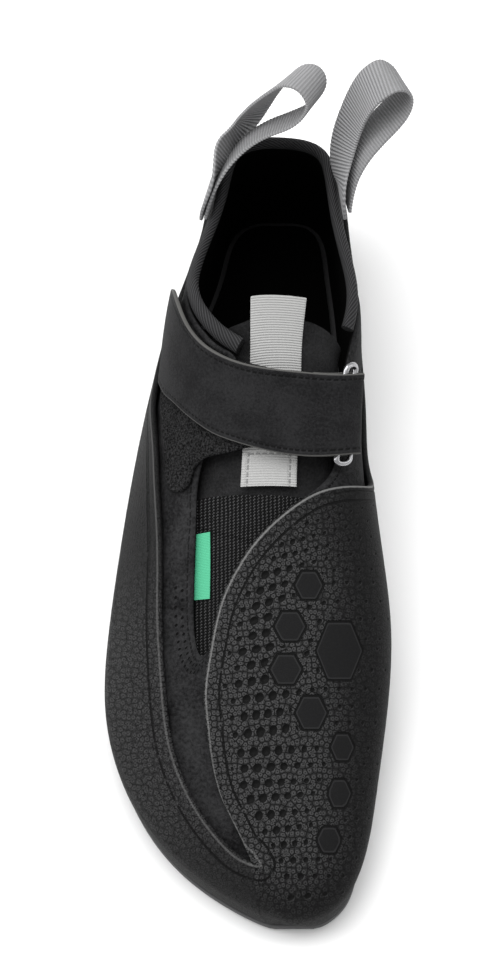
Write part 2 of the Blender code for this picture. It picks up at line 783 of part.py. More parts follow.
SETTLE_SHARES = (0.53, 0.92)


class Run:
    """The ground under the strap: distances along it, distances across it as shares, and heights off the last."""

    def __init__(self, lower, upper, count=80):
        self.low, self.high = edge(lower, count), edge(upper, count)
        middle, _ = on_last(blend(aim(self.low), aim(self.high), np.full((1, count), 0.5)))
        self.reach = np.concatenate([[0], np.cumsum(gaps(middle[0]))])
        self.length = self.reach[-1]
        ends, _ = on_last(blend(aim(self.low), aim(self.high), np.array([[0.0] * count, [1.0] * count])))
        self.width = np.linalg.norm(ends[1] - ends[0], axis=1)

    def places(self, along, across, height):
        """Points at some distances along, shares across and heights, three lists of one length."""
        low = natural_spline(self.reach, self.low, along)
        high = natural_spline(self.reach, self.high, along)
        base, out = on_last(blend(aim(low), aim(high), np.asarray(across, float)[None]))
        return base[0] + out[0] * np.asarray(height, float)[:, None]


def make_closure():
    base = UPPER_WALL + SEAT
    lower, upper = edge(BASE_LOWER, 22), edge(BASE_UPPER, 22)
    sheet_on_last("strap_base", lower, upper, base, base + BASE_THICKNESS, BASE_STEP)
    run = Run(STRAP_LOWER, STRAP_UPPER)
    half = STRAP_THICKNESS / 2
    wire = RING_WIRE / 2
    under = UPPER_WALL + 2 * FIT + half
    centre = under + half + 2 * FIT + wire
    over = centre + wire + 2 * FIT + half
    flat = base + BASE_THICKNESS + STRAP_GAP + half
    far_bar = run.length - RING_FROM_END
    bend = over - centre
    turns = np.linspace(-90, 90, 7) * math.pi / 180
    fold = [(far_bar + bend * math.cos(t), centre + bend * math.sin(t)) for t in turns]
    settle = far_bar - RING_GAUGE - SETTLE_FROM
    path = [(far_bar - UNDER_LAYER, under), (far_bar - UNDER_LAYER / 2, under)] + fold
    path += [(far_bar - RING_GAUGE / 2, over), (settle, over)]
    lows = [over + (flat - over) * share for share in SETTLE_SHARES] + [flat]
    path += [(settle - along, low) for along, low in zip(SETTLE_ALONG, lows)]
    rest = np.linspace(settle - SETTLE_ALONG[-1], 0.0, 13)
    path = np.array(path + [(along, flat) for along in rest])
    ahead = unit(np.gradient(path, axis=0))
    side = np.stack([-ahead[:, 1], ahead[:, 0]], axis=1) * half
    across = np.linspace(0, 1, 5)
    ring = [(share, 1) for share in across] + [(share, -1) for share in across[::-1]]
    table = np.zeros((len(path), len(ring), 3))
    for j, (share, sign) in enumerate(ring):
        at = path + side * sign
        table[:, j] = run.places(at[:, 0], np.full(len(path), share), at[:, 1])
    skin("strap", table, False)

    width = float(np.interp(far_bar, run.reach, run.width))
    corner = RING_CORNER
    near_bar = far_bar - RING_GAUGE
    low, high = -RING_BEYOND, width + RING_BEYOND
    corners = ((far_bar - corner, high - corner, 0), (near_bar + corner, high - corner, 90))
    corners += ((near_bar + corner, low + corner, 180), (far_bar - corner, low + corner, 270))
    outline = []
    for x, y, start in corners:
        for turn in np.radians(start + np.array([0, 30, 60, 90])):
            outline.append((x + corner * math.cos(turn), y + corner * math.sin(turn)))
        if start in (90, 270):
            for share in (0.2, 0.4, 0.6, 0.8):
                other = (low + corner) if start == 90 else (high - corner)
                outline.append((outline[-1][0], y + (other - y) * share))
    outline = np.array(outline)
    line = run.places(outline[:, 0], outline[:, 1] / width, np.full(len(outline), centre))
    tube("ring", line, wire, 8)


def tube(name, line, radius, sides):
    """A closed loop of round wire."""
    ahead = unit(np.roll(line, -1, axis=0) - np.roll(line, 1, axis=0))
    flat = unit(np.linalg.svd(line - line.mean(axis=0))[2][2])
    side = unit(np.cross(ahead, flat))
    up = np.cross(side, ahead)
    turns = np.arange(sides) * 2 * math.pi / sides
    table = line[:, None] + radius * (np.cos(turns)[None, :, None] * side[:, None] + np.sin(turns)[None, :, None] * up[:, None])
    skin(name, table, True)


# The pull loops at the heel: webbing folded in two, with both ends on the side of the collar

LOOP_COLUMNS = ("across", "along", "up", "width_x", "width_y", "width_z", "layer")
LOOP_WIDTH = 0.0140
LOOP_THICKNESS = 0.0010
LOOP_SEAT = 0.0019
LOOP_OUTER = (
    (-0.262, 0.122, 0.845, -0.26, -0.97, 0.00, 2.0),
    (-0.262, 0.122, 0.890, -0.26, -0.97, 0.00, 2.2),
    (-0.246, 0.105, 0.960, -0.36, -0.92, 0.12, 0.0),
    (-0.190, 0.065, 1.005, -0.56, -0.77, 0.28, 0.0),
    (-0.125, 0.040, 1.040, -0.70, -0.60, 0.40, 0.0),
    (-0.065, 0.026, 1.125, -0.67, -0.62, 0.41, 0.0),
    (0.018, 0.019, 1.251, -0.55, -0.73, 0.40, 0.0),
    (0.064, 0.019, 1.303, -0.49, -0.78, 0.38, 0.0),
    (0.120, 0.028, 1.322, -0.47, -0.82, 0.32, 0.0),
    (0.147, 0.038, 1.282, -0.45, -0.82, 0.36, 0.0),
    (0.132, 0.046, 1.221, -0.34, -0.78, 0.52, 0.0),
    (0.070, 0.054, 1.160, -0.16, -0.80, 0.58, 0.0),
    (-0.035, 0.060, 1.104, -0.13, -0.80, 0.58, 0.0),
    (-0.125, 0.072, 1.055, -0.20, -0.83, 0.50, 0.0),
    (-0.205, 0.094, 0.985, -0.30, -0.91, 0.26, 0.0),
    (-0.262, 0.120, 0.890, -0.26, -0.97, 0.00, 1.1),
    (-0.262, 0.122, 0.845, -0.26, -0.97, 0.00, 1.0),
)
LOOP_INNER = (
    (0.226, 0.122, 0.845, 0.14, -0.99, 0.00, 1.0),
    (0.226, 0.121, 0.890, 0.14, -0.99, 0.00, 1.1),
    (0.246, 0.090, 0.980, 0.22, -0.97, 0.04, 0.0),
    (0.284, 0.050, 1.105, 0.32, -0.94, 0.09, 0.0),
    (0.329, 0.034, 1.217, 0.36, -0.92, 0.12, 0.0),
    (0.376, 0.027, 1.289, 0.38, -0.92, 0.10, 0.0),
    (0.426, 0.022, 1.314, 0.38, -0.91, 0.15, 0.0),
    (0.465, 0.020, 1.289, 0.35, -0.89, 0.30, 0.0),
    (0.491, 0.024, 1.237, 0.35, -0.86, 0.37, 0.0),
    (0.484, 0.032, 1.190, 0.35, -0.87, 0.36, 0.0),
    (0.442, 0.046, 1.138, 0.37, -0.85, 0.36, 0.0),
    (0.360, 0.067, 1.075, 0.36, -0.87, 0.34, 0.0),
    (0.290, 0.092, 0.990, 0.28, -0.93, 0.24, 0.0),
    (0.240, 0.119, 0.890, 0.16, -0.99, 0.03, 2.2),
    (0.226, 0.122, 0.845, 0.14, -0.99, 0.00, 2.0),
)


def make_loop(name, table):
    points = in_metres(table)
    wide = np.array(table)[:, 3:6]
    layer = np.array(table)[:, 6:]
    height = LOOP_SEAT + (layer - 1 / 2) * LOOP_THICKNESS + (layer - 1) * SEAT
    starts, ways = aim(points)
    base, out = on_last((starts[None], ways[None]))
    points = np.where(layer > 0, base[0] + out[0] * height, points)
    weights = gaps(points)
    line, _ = even_curve(points, weights, 34)
    wide = unit(even_curve(wide, weights, 34)[0])
    ahead = unit(np.gradient(line, axis=0))
    wide = unit(wide - ahead * (wide * ahead).sum(axis=1)[:, None])
    thick = np.cross(ahead, wide)
    ring = ((-1, -1), (0, -1), (1, -1), (1, 1), (0, 1), (-1, 1))
    table = np.stack(
        [line + wide * (a * LOOP_WIDTH / 2) + thick * (b * LOOP_THICKNESS / 2) for a, b in ring], axis=1
    )
    skin(name, table, False)


make_upper()
make_rubber()
make_sole()
make_binding()
make_throat()
make_closure()
make_loop("pull_loop_outer", LOOP_OUTER)
make_loop("pull_loop_inner", LOOP_INNER)
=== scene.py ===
# %% [markdown]
# # A climbing shoe for the right foot
# The CAD model of the shoe is loaded first and stays as the frame. Every piece below is a finer
# version of one of its solids: it lies in the same place, replaces the solid in the render and
# rides on the shoe's one body.

# %% Load the frame
import math

import bmesh
import bpy
import numpy as np
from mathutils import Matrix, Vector


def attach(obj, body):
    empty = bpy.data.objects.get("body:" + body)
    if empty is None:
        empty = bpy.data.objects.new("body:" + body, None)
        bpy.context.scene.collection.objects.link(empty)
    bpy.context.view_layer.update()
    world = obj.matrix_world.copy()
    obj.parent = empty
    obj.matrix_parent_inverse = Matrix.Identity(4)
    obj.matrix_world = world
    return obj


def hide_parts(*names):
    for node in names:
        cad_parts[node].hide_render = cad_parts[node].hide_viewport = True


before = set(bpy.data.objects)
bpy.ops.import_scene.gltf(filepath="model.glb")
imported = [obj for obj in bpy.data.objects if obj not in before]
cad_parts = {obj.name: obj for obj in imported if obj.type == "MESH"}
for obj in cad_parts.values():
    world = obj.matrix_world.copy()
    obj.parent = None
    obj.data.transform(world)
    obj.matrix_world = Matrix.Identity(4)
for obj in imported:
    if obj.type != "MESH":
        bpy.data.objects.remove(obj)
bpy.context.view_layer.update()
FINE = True
print("solids in the frame:", len(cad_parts))

# %% [markdown]
# ## Camera, light and floor
# The photograph looks down on the shoe from the toe's side, about 66 degrees above the floor, with a
# long lens. The camera is worked out from a pinhole model. The same model later says where
# a spot of the photograph lies on the shoe, so that a pattern can be placed by it.

# %% The camera as a pinhole
FRAME_WIDE, FRAME_HIGH = 498, 957
VIEW_UP = math.radians(66)
VIEW_FAR = 1.2
VIEW_AT = np.array([0, 0.045, 0.030])
VIEW_AT_PIXEL = (278, 532)
FOCAL = 3785

view_way = np.array([0, math.cos(VIEW_UP), -math.sin(VIEW_UP)])
view_top = np.array([0, math.sin(VIEW_UP), math.cos(VIEW_UP)])
view_from = VIEW_AT - view_way * VIEW_FAR


def in_photo(points):
    """Where points of the shoe lie in the photograph, in its pixels."""
    seen = points - view_from
    depth = seen @ view_way
    across = VIEW_AT_PIXEL[0] + FOCAL * seen[..., 0] / depth
    down = VIEW_AT_PIXEL[1] - FOCAL * (seen @ view_top) / depth
    return np.stack([across, down], axis=-1)


camera = bpy.data.objects.new("camera", bpy.data.cameras.new("camera"))
bpy.context.scene.collection.objects.link(camera)
camera.location = view_from
camera.rotation_euler = Vector(view_way).to_track_quat("-Z", "Y").to_euler()
camera.data.sensor_width = 36
camera.data.lens = FOCAL * 36 / FRAME_HIGH
camera.data.shift_x = -(VIEW_AT_PIXEL[0] - FRAME_WIDE / 2) / FRAME_HIGH
camera.data.shift_y = (VIEW_AT_PIXEL[1] - FRAME_HIGH / 2) / FRAME_HIGH
camera.data.clip_start, camera.data.clip_end = 0.05, 20
bpy.context.scene.camera = camera
print("lens", round(camera.data.lens, 1), "mm")


# %% Floor and lamps
def lamp(name, place, target, size, power):
    """A soft rectangular lamp that points at a place."""
    data = bpy.data.lights.new(name, "AREA")
    data.shape, data.size, data.size_y, data.energy = "RECTANGLE", size[0], size[1], power
    obj = bpy.data.objects.new(name, data)
    bpy.context.scene.collection.objects.link(obj)
    obj.location = place
    obj.rotation_euler = (Vector(target) - Vector(place)).to_track_quat("-Z", "Y").to_euler()


WORLD_STRENGTH = 0.80
lamp("top_lamp", (-0.15, 0.30, 1.15), (0, 0.05, 0.02), (0.9, 0.9), 13)
lamp("left_lamp", (-1.0, 0.05, 0.55), (0, 0.03, 0.03), (0.5, 1.0), 5)
lamp("right_lamp", (0.9, 0.25, 0.5), (0, 0.05, 0.04), (0.3, 0.9), 1.2)

world = bpy.data.worlds.new("studio")
world.use_nodes = True
sky = world.node_tree.nodes["Background"].inputs
sky["Color"].default_value = (1, 1, 1, 1)
sky["Strength"].default_value = WORLD_STRENGTH
bpy.context.scene.world = world
bpy.context.scene.view_settings.view_transform = "Standard"

bm = bmesh.new()
bmesh.ops.create_grid(bm, x_segments=1, y_segments=1, size=3)
floor_mesh = bpy.data.meshes.new("floor")
bm.to_mesh(floor_mesh)
bm.free()
floor = bpy.data.objects.new("floor", floor_mesh)
bpy.context.scene.collection.objects.link(floor)

# %% [markdown]
# ## The last
# A shoe is built round a last, a solid form of the foot. The solids of the CAD model come from one:
# cross-sections along its length, joined by a smooth curve. The same numbers are repeated here, so
# that each finer piece lies just where its solid lies.

# %% Sections of the last
LAST_LENGTH = 0.2476
BALL_WIDTH = 0.0806
INSTEP_HEIGHT = 0.076
BALL_STATION = 0.70

# Thicknesses of the stock
SOLE_THICKNESS = 0.0040
UPPER_WALL = 0.0020
RUBBER_WALL = 0.0020

# How the sole leaves the floor
ARCH_RISE = 0.008
TOE_SPRING = 0.0015

# Clearance between two pieces that touch in the real shoe
FIT = 0.0003
SEAT = 0.0004

LAST_COLUMNS = ("along", "outer", "inner", "belly", "crown", "drop", "lean", "fullness")
LAST_SECTIONS = (
    (0.00, 0.000, 0.000, 0.289, 0.289, 0.000, 0.000, 2.4),
    (0.02, -0.174, 0.174, 0.276, 0.697, 0.316, 0.000, 2.4),
    (0.04, -0.211, 0.203, 0.270, 0.895, 0.395, 0.000, 2.4),
    (0.06, -0.231, 0.215, 0.263, 1.158, 0.421, 0.012, 2.4),
    (0.10, -0.256, 0.226, 0.250, 1.342, 0.434, 0.025, 2.4),
    (0.15, -0.305, 0.243, 0.237, 1.395, 0.434, 0.037, 2.4),
    (0.25, -0.410, 0.263, 0.237, 1.329, 0.434, 0.087, 3.0),
    (0.35, -0.476, 0.274, 0.263, 1.013, 0.316, 0.130, 2.2),
    (0.45, -0.527, 0.266, 0.263, 0.816, 0.289, 0.174, 2.1),
    (0.55, -0.572, 0.288, 0.224, 0.671, 0.289, 0.211, 2.1),
    (0.65, -0.608, 0.318, 0.184, 0.546, 0.309, 0.230, 2.1),
    (0.75, -0.610, 0.313, 0.164, 0.434, 0.289, 0.211, 2.1),
    (0.85, -0.514, 0.290, 0.145, 0.336, 0.263, 0.155, 2.1),
    (0.92, -0.360, 0.266, 0.132, 0.270, 0.237, 0.099, 2.2),
    (0.97, -0.160, 0.221, 0.118, 0.204, 0.197, 0.037, 2.2),
    (1.00, 0.074, 0.074, 0.112, 0.112, 0.000, 0.000, 2.2),
)
LOWER_FULLNESS = 3.0
TINY = 1e-6

HEEL_Y = BALL_STATION * LAST_LENGTH


# %% A smooth curve through a table
def turn_of(share):
    """A share of the length as an angle, in which a round end is a straight line."""
    return np.arccos(np.clip(1 - 2 * np.asarray(share, float), -1, 1))


def natural_spline(knots, values, at):
    """The smooth curve through values at knots, read at some places. Columns go side by side."""
    knots = np.asarray(knots, float)
    values = np.asarray(values, float)
    flat = values.ndim == 1
    if flat:
        values = values[:, None]
    count = len(knots)
    gaps = np.diff(knots)[:, None]
    slopes = np.diff(values, axis=0) / gaps
    matrix = np.eye(count)
    right = np.zeros_like(values)
    for i in range(1, count - 1):
        matrix[i, i - 1] = gaps[i - 1, 0]
        matrix[i, i] = 2 * (gaps[i - 1, 0] + gaps[i, 0])
        matrix[i, i + 1] = gaps[i, 0]
        right[i] = 6 * (slopes[i] - slopes[i - 1])
    bend = np.linalg.solve(matrix, right)
    at = np.clip(np.asarray(at, float), knots[0], knots[-1])
    span = np.clip(np.searchsorted(knots, at, side="right") - 1, 0, count - 2)
    gap = np.diff(knots)[span][:, None]
    before = ((at - knots[span])[:, None]) / gap
    after = 1 - before
    curve = (
        after * values[span]
        + before * values[span + 1]
        + gap**2 / 6 * ((after**3 - after) * bend[span] + (before**3 - before) * bend[span + 1])
    )
    return curve[:, 0] if flat else curve


# %% The last as a solid form
SECTION_TABLE = np.array(LAST_SECTIONS)
SECTION_SCALE = np.array([BALL_WIDTH] * 2 + [INSTEP_HEIGHT] * 3 + [BALL_WIDTH, 1.0])


def section_at(y):
    """The last's section sizes at some places along its length, in metres, as named columns."""
    share = (HEEL_Y - np.asarray(y, float)) / LAST_LENGTH
    columns = SECTION_TABLE[:, 1:] * SECTION_SCALE
    sizes = natural_spline(turn_of(SECTION_TABLE[:, 0]), columns, turn_of(share))
    found = dict(zip(LAST_COLUMNS[1:], sizes.T))
    found["share"] = share
    found["centre"] = (found["outer"] + found["inner"]) / 2
    found["half"] = np.maximum((found["inner"] - found["outer"]) / 2, TINY)
    found["belly"] = found["belly"] + SOLE_THICKNESS
    found["crown"] = found["crown"] + SOLE_THICKNESS
    found["rise"] = np.maximum(found["crown"] - found["belly"], TINY)
    found["drop"] = np.maximum(found["drop"], TINY)
    return found


def excess(points):
    """Below 0 inside the last and above 0 outside it."""
    size = section_at(points[:, 1])
    above = points[:, 2] > size["belly"]
    height = np.where(
        above,
        (points[:, 2] - size["belly"]) / size["rise"],
        (size["belly"] - points[:, 2]) / size["drop"],
    )
    centre = size["centre"] + size["lean"] * np.where(above, height, 0)
    across = np.abs(points[:, 0] - centre) / size["half"]
    power = np.where(above, size["fullness"], LOWER_FULLNESS)
    level = (across**power + height**power) ** (1 / power) - 1
    beyond = np.maximum(-size["share"], size["share"] - 1)
    return np.where(beyond > 0, 100 + beyond, level)


def outward(points):
    """The last's outward direction at points on it."""
    step = 2e-5
    slope = np.zeros_like(points)
    for axis in range(3):
        nudge = np.zeros(3)
        nudge[axis] = step
        ahead, behind = (np.clip(excess(points + way), -1, 1) for way in (nudge, -nudge))
        slope[:, axis] = ahead - behind
    return slope / np.maximum(np.linalg.norm(slope, axis=1), 1e-12)[:, None]


# %% From inside the last to its surface
SPINE_REAR = 0.11
SPINE_FRONT = 0.90
SPINE_LIFT = 0.25
HALVINGS = 40


def spine(y):
    """A point inside the last, from which its surface is looked at."""
    rear = HEEL_Y - SPINE_REAR * LAST_LENGTH
    front = HEEL_Y - SPINE_FRONT * LAST_LENGTH
    y = np.clip(y, front, rear)
    size = section_at(y)
    across = size["centre"] + SPINE_LIFT * size["lean"]
    return np.stack([across, y, size["belly"] + SPINE_LIFT * size["rise"]], axis=1)


def unit(vectors):
    return vectors / np.maximum(np.linalg.norm(vectors, axis=-1, keepdims=True), 1e-12)


def cast(starts, ways):
    """Where lines from inside the last come out of it."""
    near = np.zeros(len(starts))
    far = np.full(len(starts), LAST_LENGTH)
    for _ in range(HALVINGS):
        middle = (near + far) / 2
        inside = excess(starts + ways * middle[:, None]) < 0
        near = np.where(inside, middle, near)
        far = np.where(inside, far, middle)
    return starts + ways * near[:, None]


# %% The outline of the sole
ARCH_FROM = 0.21
ARCH_TO = 0.58
TOE_FROM = 0.93


def sole_lift(y):
    """How far the sole stands off the floor at some places along the last."""
    share = (HEEL_Y - np.asarray(y, float)) / LAST_LENGTH
    arch = np.clip((share - ARCH_FROM) / (ARCH_TO - ARCH_FROM), 0, 1)
    toe = np.clip((share - TOE_FROM) / (1 - TOE_FROM), 0, 1)
    return ARCH_RISE * np.sin(math.pi * arch) ** 2 + TOE_SPRING * toe**2


def foot_ends():
    """The shares of the length at which the last meets the sole, at the heel and at the toe."""
    found = []
    for near, far in ((0.2, 0.0), (0.8, 1.0)):
        for _ in range(HALVINGS):
            middle = (near + far) / 2
            size = section_at(np.array([HEEL_Y - middle * LAST_LENGTH]))
            if size["belly"][0] - size["drop"][0] < SOLE_THICKNESS:
                near = middle
            else:
                far = middle
        found.append(near)
    return found


FOOT_HEEL, FOOT_TOE = foot_ends()


def foot_points(places):
    """Where the last meets the sole. A place runs from 0 at the heel up the outer side to 1 at
    the toe and back along the inner side to 2."""
    places = np.asarray(places, float)
    turn = math.pi * np.clip(places, 0, 2)
    share = FOOT_HEEL + (FOOT_TOE - FOOT_HEEL) * (1 - np.cos(turn)) / 2
    y = HEEL_Y - share * LAST_LENGTH
    z = SOLE_THICKNESS + sole_lift(y) + SEAT
    size = section_at(y)
    depth = np.clip((size["belly"] - z) / size["drop"], 0, 1)
    reach = size["half"] * np.maximum(1 - depth**LOWER_FULLNESS, 0) ** (1 / LOWER_FULLNESS)
    return np.stack([size["centre"] + reach * np.where(places <= 1, -1, 1), y, z], axis=1)


def place_of(share, inner):
    """The place round the sole that lies at a share of the last's length."""
    along = np.clip((np.asarray(share, float) - FOOT_HEEL) / (FOOT_TOE - FOOT_HEEL), 0, 1)
    half = np.arccos(1 - 2 * along) / math.pi
    return np.where(inner, 2 - half, half)


# %% Places and ways on the last
# The edges of the pieces are tables of points: across in ball widths, along in lengths of the
# last, up in instep heights. A fourth column of a rim says which place of the sole lies below it.
EDGE_SCALE = np.array([BALL_WIDTH, -LAST_LENGTH, INSTEP_HEIGHT])
EDGE_ORIGIN = np.array([0, HEEL_Y, SOLE_THICKNESS])
NARROWEST_STEP = 0.25
OVERLAP = 4


def in_metres(table):
    """Points from a table of an edge."""
    return EDGE_ORIGIN + np.array(table, float)[:, :3] * EDGE_SCALE


def aim(points):
    """The spine point and the direction from which each of these points is seen."""
    starts = spine(points[:, 1])
    return starts, unit(points - starts)


def blend(first, second, shares):
    """Aims between two lists of aims. The shares are a table with a row for each level and a
    column for each pair of aims."""
    shares = np.asarray(shares, float)[:, :, None]
    starts = first[0][None] + (second[0] - first[0])[None] * shares
    angle = np.arccos(np.clip((first[1] * second[1]).sum(axis=1), -1, 1))[None, :, None]
    whole = np.maximum(np.sin(angle), 1e-9)
    before = np.sin((1 - shares) * angle) / whole
    after = np.sin(shares * angle) / whole
    return starts, unit(before * first[1][None] + after * second[1][None])


def on_last(aims):
    """The last's surface and its outward direction along a table of aims."""
    starts, ways = aims
    points = cast(starts.reshape(-1, 3), ways.reshape(-1, 3))
    return points.reshape(starts.shape), outward(points).reshape(starts.shape)


def gaps(points, around=False):
    """The distance from each point to the next."""
    after = np.roll(points, -1, axis=0) if around else points[1:]
    before = points if around else points[:-1]
    return np.linalg.norm(after - before, axis=1)


def travel(points):
    """How far along the line through them each of some points is."""
    return np.concatenate([[0], np.cumsum(gaps(points))])


def at_edge(table, shares):
    """Points of the smooth curve through a table, at some shares of its length."""
    points = in_metres(table)
    knots = travel(points)
    return natural_spline(knots, points, np.asarray(shares) * knots[-1])


def rim_and_foot(table, count):
    """A closed rim and the sole's outline below it, as two matching lists of points."""
    rim = in_metres(table)
    foot = [place_of(row[3] if row[3] <= 1 else 2 - row[3], row[3] > 1) for row in table]
    foot = np.array(foot, float)
    weights = np.maximum(gaps(rim, True), gaps(foot_points(foot), True))
    weights = np.maximum(weights, NARROWEST_STEP * weights.mean())
    total = weights.sum()
    knots = np.concatenate([[0], np.cumsum(weights)])
    at = np.linspace(0, total, count, endpoint=False)
    body = knots[:-1]
    wide = np.concatenate([body[-OVERLAP:] - total, body, body[: OVERLAP + 1] + total])
    points = natural_spline(wide, np.concatenate([rim[-OVERLAP:], rim, rim[: OVERLAP + 1]]), at)
    return points, foot_points(np.interp(at, knots, np.append(foot, 2.0)))

# %% [markdown]
# ## Sheets with thickness
# Nearly every piece of the shoe is a sheet of stock that lies on the last: microfibre, rubber,
# elastic, webbing. One helper makes them all. It starts from a flat grid, whose rows become rings
# about the stock and whose columns run along the piece, and moves each corner of the grid to its
# place. A relief, given as a function, lifts or sinks the outer face for seams, grooves and creases.

# %% From a flat grid to a piece
SHARP_ANGLE = math.radians(55)
SAME_SPOT = 1e-7


def closed(grid, axis=0):
    """A table whose first row or column comes again after the last."""
    return np.concatenate([grid, grid.take([0], axis)], axis)


def read(items, key, kind, size=1):
    """One value of each vertex or corner of a mesh."""
    found = np.empty(len(items) * size, kind)
    items.foreach_get(key, found)
    return found


def lay_map(mesh, name, spots):
    """A UV map that gives each vertex a spot."""
    corners = read(mesh.loops, "vertex_index", np.int32)
    layer = mesh.uv_layers.new(name=name)
    layer.data.foreach_set("uv", spots[corners].astype(np.float32).ravel())


def piece(name, table, flat, around=False, marks=None):
    """A closed body from a table of points: rows are rings about the stock, columns run along it.
    The flat table holds each point's place on the stock in metres, and becomes the UV map stock,
    in decimetres. The UV map photo holds its place in the photograph, in hundreds of pixels. Each
    mark is a table of numbers that the piece's material can read."""
    table, flat = closed(table), closed(flat)
    marks = {key: closed(value) for key, value in (marks or {}).items()}
    if around:
        table = closed(table, 1)
        flat = np.concatenate([flat, flat[:, -1:] + (flat[:, -1:] - flat[:, -2:-1])], axis=1)
        marks = {key: closed(value, 1) for key, value in marks.items()}
    rows, columns = table.shape[:2]
    bm = bmesh.new()
    bmesh.ops.create_grid(bm, x_segments=rows - 1, y_segments=columns - 1, size=1)
    mesh = bpy.data.meshes.new(name)
    bm.to_mesh(mesh)
    bm.free()
    corner = read(mesh.vertices, "co", np.float32, 3).reshape(-1, 3)
    row = np.rint((corner[:, 0] + 1) / 2 * (rows - 1)).astype(int)
    column = np.rint((corner[:, 1] + 1) / 2 * (columns - 1)).astype(int)
    mesh.vertices.foreach_set("co", table[row, column].astype(np.float32).ravel())
    for key, value in marks.items():
        layer = mesh.attributes.new(key, "FLOAT", "POINT")
        layer.data.foreach_set("value", value[row, column].astype(np.float32))
    lay_map(mesh, "stock", 10 * flat[row, column])
    bm = bmesh.new()
    bm.from_mesh(mesh)
    bmesh.ops.remove_doubles(bm, verts=bm.verts, dist=SAME_SPOT)
    if not around:
        bmesh.ops.holes_fill(bm, edges=[edge for edge in bm.edges if edge.is_boundary], sides=0)
    bmesh.ops.recalc_face_normals(bm, faces=bm.faces)
    if bm.calc_volume(signed=True) < 0:
        bmesh.ops.reverse_faces(bm, faces=bm.faces)
    bm.to_mesh(mesh)
    bm.free()
    mesh.shade_smooth()
    mesh.set_sharp_from_angle(angle=SHARP_ANGLE)
    points = read(mesh.vertices, "co", np.float32, 3).reshape(-1, 3)
    lay_map(mesh, "photo", in_photo(points.astype(float)) / 100)
    obj = bpy.data.objects.new(name, mesh)
    bpy.context.scene.collection.objects.link(obj)
    print(name, len(mesh.polygons), "faces")
    return obj


def keep(obj, node, material):
    """The piece stands for its solid, rides on the shoe and takes its finish."""
    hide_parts(node)
    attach(obj, "root")
    obj.data.materials.append(material)
    return obj


# %% A sheet on the last
def section(rows, inside, ends=5, square=2.0, fringe=()):
    """A sheet's cross-section, as rings: the share of the way up, a step off the end in half
    thicknesses, the level from -1 inside to 1 outside, how much of the relief it takes, and a
    distance to add. The fringe holds distances from both edges at which the outer face gets a row."""
    fringe = np.array(fringe, float)
    body = np.linspace(0, 1, rows + 2)[1:-1] if len(fringe) else np.linspace(0, 1, rows)
    turn = np.linspace(math.pi / 2, -math.pi / 2, ends + 2)[1:-1]
    reach = np.abs(np.cos(turn)) ** (2 / square)
    level = np.sign(np.sin(turn)) * np.abs(np.sin(turn)) ** (2 / square)
    rings = [(0, 1, 1, 1, off) for off in fringe]
    margin = fringe[-1] if len(fringe) else 0
    rings += [(share, 1 - 2 * share, 1, 1, margin * (1 - 2 * share)) for share in body]
    rings += [(1, -1, 1, 1, -off) for off in fringe[::-1]]
    rings += [(1, -1 + out, side, max(side, 0), 0) for out, side in zip(reach, level)]
    rings += [(share, 1 - 2 * share, -1, 0, 0) for share in np.linspace(1, 0, inside)]
    rings += [(0, 1 - out, -side, max(-side, 0), 0) for out, side in zip(reach, level)]
    return np.array(rings, float)


def shell(name, node, lower, upper, near, far, rows, material, inside=8, around=False,
          on_sole=False, square=2.5, relief=None, marks=None, fringe=()):
    """A sheet on the last between two matching edges, from a near distance off it to a far one.
    Relief and marks are functions of a place: where its points are and where they are seen, how
    far up, down and along the sheet they lie, which way they face and where its upper lip runs."""
    rings = section(rows, inside, square=square, fringe=fringe)
    near, far = (np.broadcast_to(np.asarray(x, float), (len(lower),)) for x in (near, far))
    trial = np.linspace(0, 1, 41)
    line, _ = on_last(blend(aim(lower), aim(upper), np.repeat(trial[:, None], len(lower), axis=1)))
    steps = np.linalg.norm(np.diff(line, axis=0), axis=2)
    reach = np.concatenate([np.zeros((1, len(lower))), np.cumsum(steps, axis=0)])
    length = reach[-1]
    half = np.minimum((far - near) / 2, 0.45 * length)
    up = rings[:, 0:1] * length + rings[:, 1:2] * half + rings[:, 4:5]
    shares = np.stack([np.interp(up[:, i], reach[:, i], trial) for i in range(len(lower))], axis=1)
    points, ways = on_last(blend(aim(lower), aim(upper), shares))
    level = (near + far) / 2 + rings[:, 2:3] * (far - near) / 2
    along = np.broadcast_to(travel(points[rows // 2]), up.shape)
    placed = points + ways * level[..., None]
    place = {"points": placed, "seen": in_photo(placed), "up": up, "down": length - up,
             "along": along, "ways": ways, "lip": placed[rows + 2 * len(fringe) - 1]}
    if relief:
        level = level + relief(place) * rings[:, 3:4]
    table = points + ways * level[..., None]
    if on_sole:
        floor_level = SOLE_THICKNESS + sole_lift(table[..., 1]) + SEAT
        table[..., 2] = np.maximum(table[..., 2], floor_level)
    told = {"face": np.broadcast_to(rings[:, 2:3], up.shape), **(marks(place) if marks else {})}
    return keep(piece(name, table, np.stack([along, up], axis=-1), around, told), node, material)


def from_curve(points, curve, batch=4000):
    """How far points are from a line of close points."""
    flat = points.reshape(-1, 3)
    apart = np.empty(len(flat))
    for start in range(0, len(flat), batch):
        some = flat[start:start + batch]
        square = ((some[:, None] - curve[None]) ** 2).sum(axis=2)
        apart[start:start + batch] = np.sqrt(square.min(axis=1))
    return apart.reshape(points.shape[:-1])


def bump(value, middle, width):
    """A soft hump of height 1 round a middle value."""
    return np.exp(-(((value - middle) / width) ** 2))


def step_up(value, start, end):
    """From 0 at the start to 1 at the end, softly."""
    share = np.clip((value - start) / (end - start), 0, 1)
    return share * share * (3 - 2 * share)

# %% [markdown]
# ## Materials as expressions
# A material's pattern is maths on numbers that change over the surface. A small class wraps a
# socket, so that the maths can be written as it is on paper, and each sign adds its Math node.

